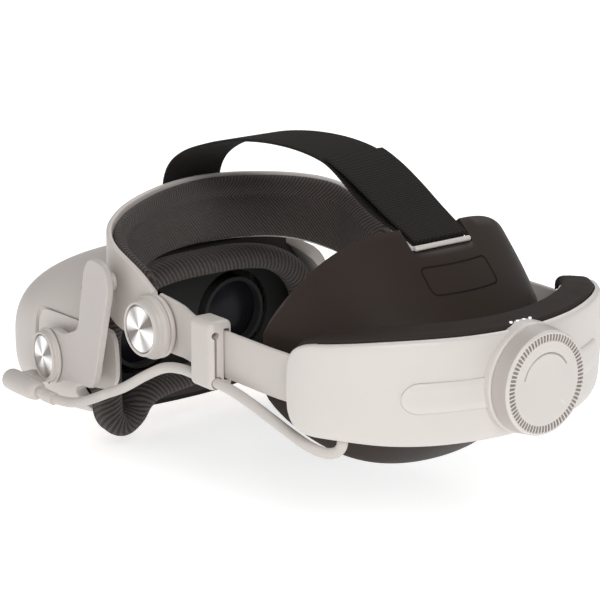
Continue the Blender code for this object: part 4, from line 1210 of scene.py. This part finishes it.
def cable():
    """The charging lead in three lengths that meet, its right-angle plug and its ribbed sleeve."""
    line = spline(CABLE, 6)
    front = [p for p in line if p[1] < -20]
    middle = [p for p in line if -22.5 < p[1] < 58]
    rear = [p for p in line if p[1] > 55]
    first, second, third = (hose(f"cable_{name}", part, CABLE_R, JACKET)
                            for name, part in (("front", front), ("middle", middle), ("rear", rear)))
    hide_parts("usb_cable")
    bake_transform(first)
    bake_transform(second)
    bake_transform(third)
    body = [(0, 0), (4.6, 0), (5.8, 2), (6, 12), (5.8, 24), (5.2, 28.6), (3.9, 30.6), (0, 31)]
    plug_axis = facing((101.2, -108, -53), (0, 1, 0))
    plug = lathe("plug_body", rounded(body, 1.4, 5), plug_axis, WHITE, 64, 50)
    neck = brick("plug_neck", (92.8, -103, -54), (15, 9, 7.6), 2.2)
    tongue = brick("plug_tongue", (85.6, -103.8, -56), (4, 8, 2.4), 0.8, 3)
    stand_for(join(plug, neck, tongue), "headset", "white_shell", "usb_plug")
    relief = join(hose("relief", line[2:8], 3.4, WHITE),
                  *(hose("rib", line[3 + k : 5 + k], 3, WHITE) for k in range(3)))
    relief.name = "cable_relief"
    stand_for(relief, "headset", "white_shell")


# ---- stage
def soft_box(name, location, side, power, target=(0, 0.05, 0)):
    """A square lamp, in metres and watts."""
    light = bpy.data.lights.new(name, "AREA")
    light.shape = "RECTANGLE"
    light.size = light.size_y = side
    light.energy = power
    made = new_object(name, light)
    made.location = location
    aim = Vector(target) - Vector(location)
    made.rotation_euler = aim.to_track_quat("-Z", "Y").to_euler()


def white_floor():
    """A floor that glows a little, so that it stays white under the object."""
    work = bmesh.new()
    bmesh.ops.create_grid(work, x_segments=8, y_segments=8, size=4.0)
    mesh = bpy.data.meshes.new("floor")
    work.to_mesh(mesh)
    work.free()
    m = Maker("floor_paint", (0.90, 0.90, 0.90), 0.9)
    tone = m.ramp(m.noise(3.0), [(0.3, (0.89, 0.89, 0.89)), (0.7, (0.91, 0.91, 0.91))])
    m.link(tone, m.shader.inputs["Emission Color"])
    m.set(Emission_Strength=0.62)
    mesh.materials.append(m.finish(tone))
    floor = new_object("floor", mesh)
    floor.location.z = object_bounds()[0].z - 0.002
    floor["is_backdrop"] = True


def white_world():
    """Even light from all round."""
    world = bpy.data.worlds.new("studio")
    bpy.context.scene.world = world
    world.use_nodes = True
    background = world.node_tree.nodes["Background"]
    background.inputs["Color"].default_value = (1.0, 1.0, 1.0, 1.0)
    background.inputs["Strength"].default_value = 0.36


def place_camera():
    """The camera of the main view."""
    camera = bpy.data.cameras.new("camera")
    camera.lens = CAMERA_LENS
    camera.sensor_width = SENSOR_WIDTH
    camera.clip_end = 20.0
    made = new_object("camera", camera)
    level = math.cos(CAMERA_ELEVATION)
    back = Vector((math.sin(CAMERA_AZIMUTH) * level, -math.cos(CAMERA_AZIMUTH) * level,
                   math.sin(CAMERA_ELEVATION)))
    made.location = TARGET + back * CAMERA_DISTANCE
    made.rotation_euler = (-back).to_track_quat("-Z", "Y").to_euler()
    bpy.context.scene.camera = made


def stage():
    """Floor, lights and camera, none of them part of the object."""
    white_floor()
    white_world()
    soft_box("key", (0.55, 1.30, 1.05), 0.8, 13.0)
    soft_box("fill", (1.5, -0.3, 0.7), 0.9, 3.6, (0, 0, 0))
    soft_box("rim", (-1.2, -0.6, 1.3), 1.0, 9.0)
    place_camera()
    bpy.context.scene.view_settings.view_transform = "Standard"


halo_band()
halo_cushion()
discs()
side_plates()
rear_arms()
cable_clip()
visor_shell()
face_cushion()
housing_shell()
raised_tongue()
top_cover()
dial()
cradle()
top_strap()
cable()
stage()
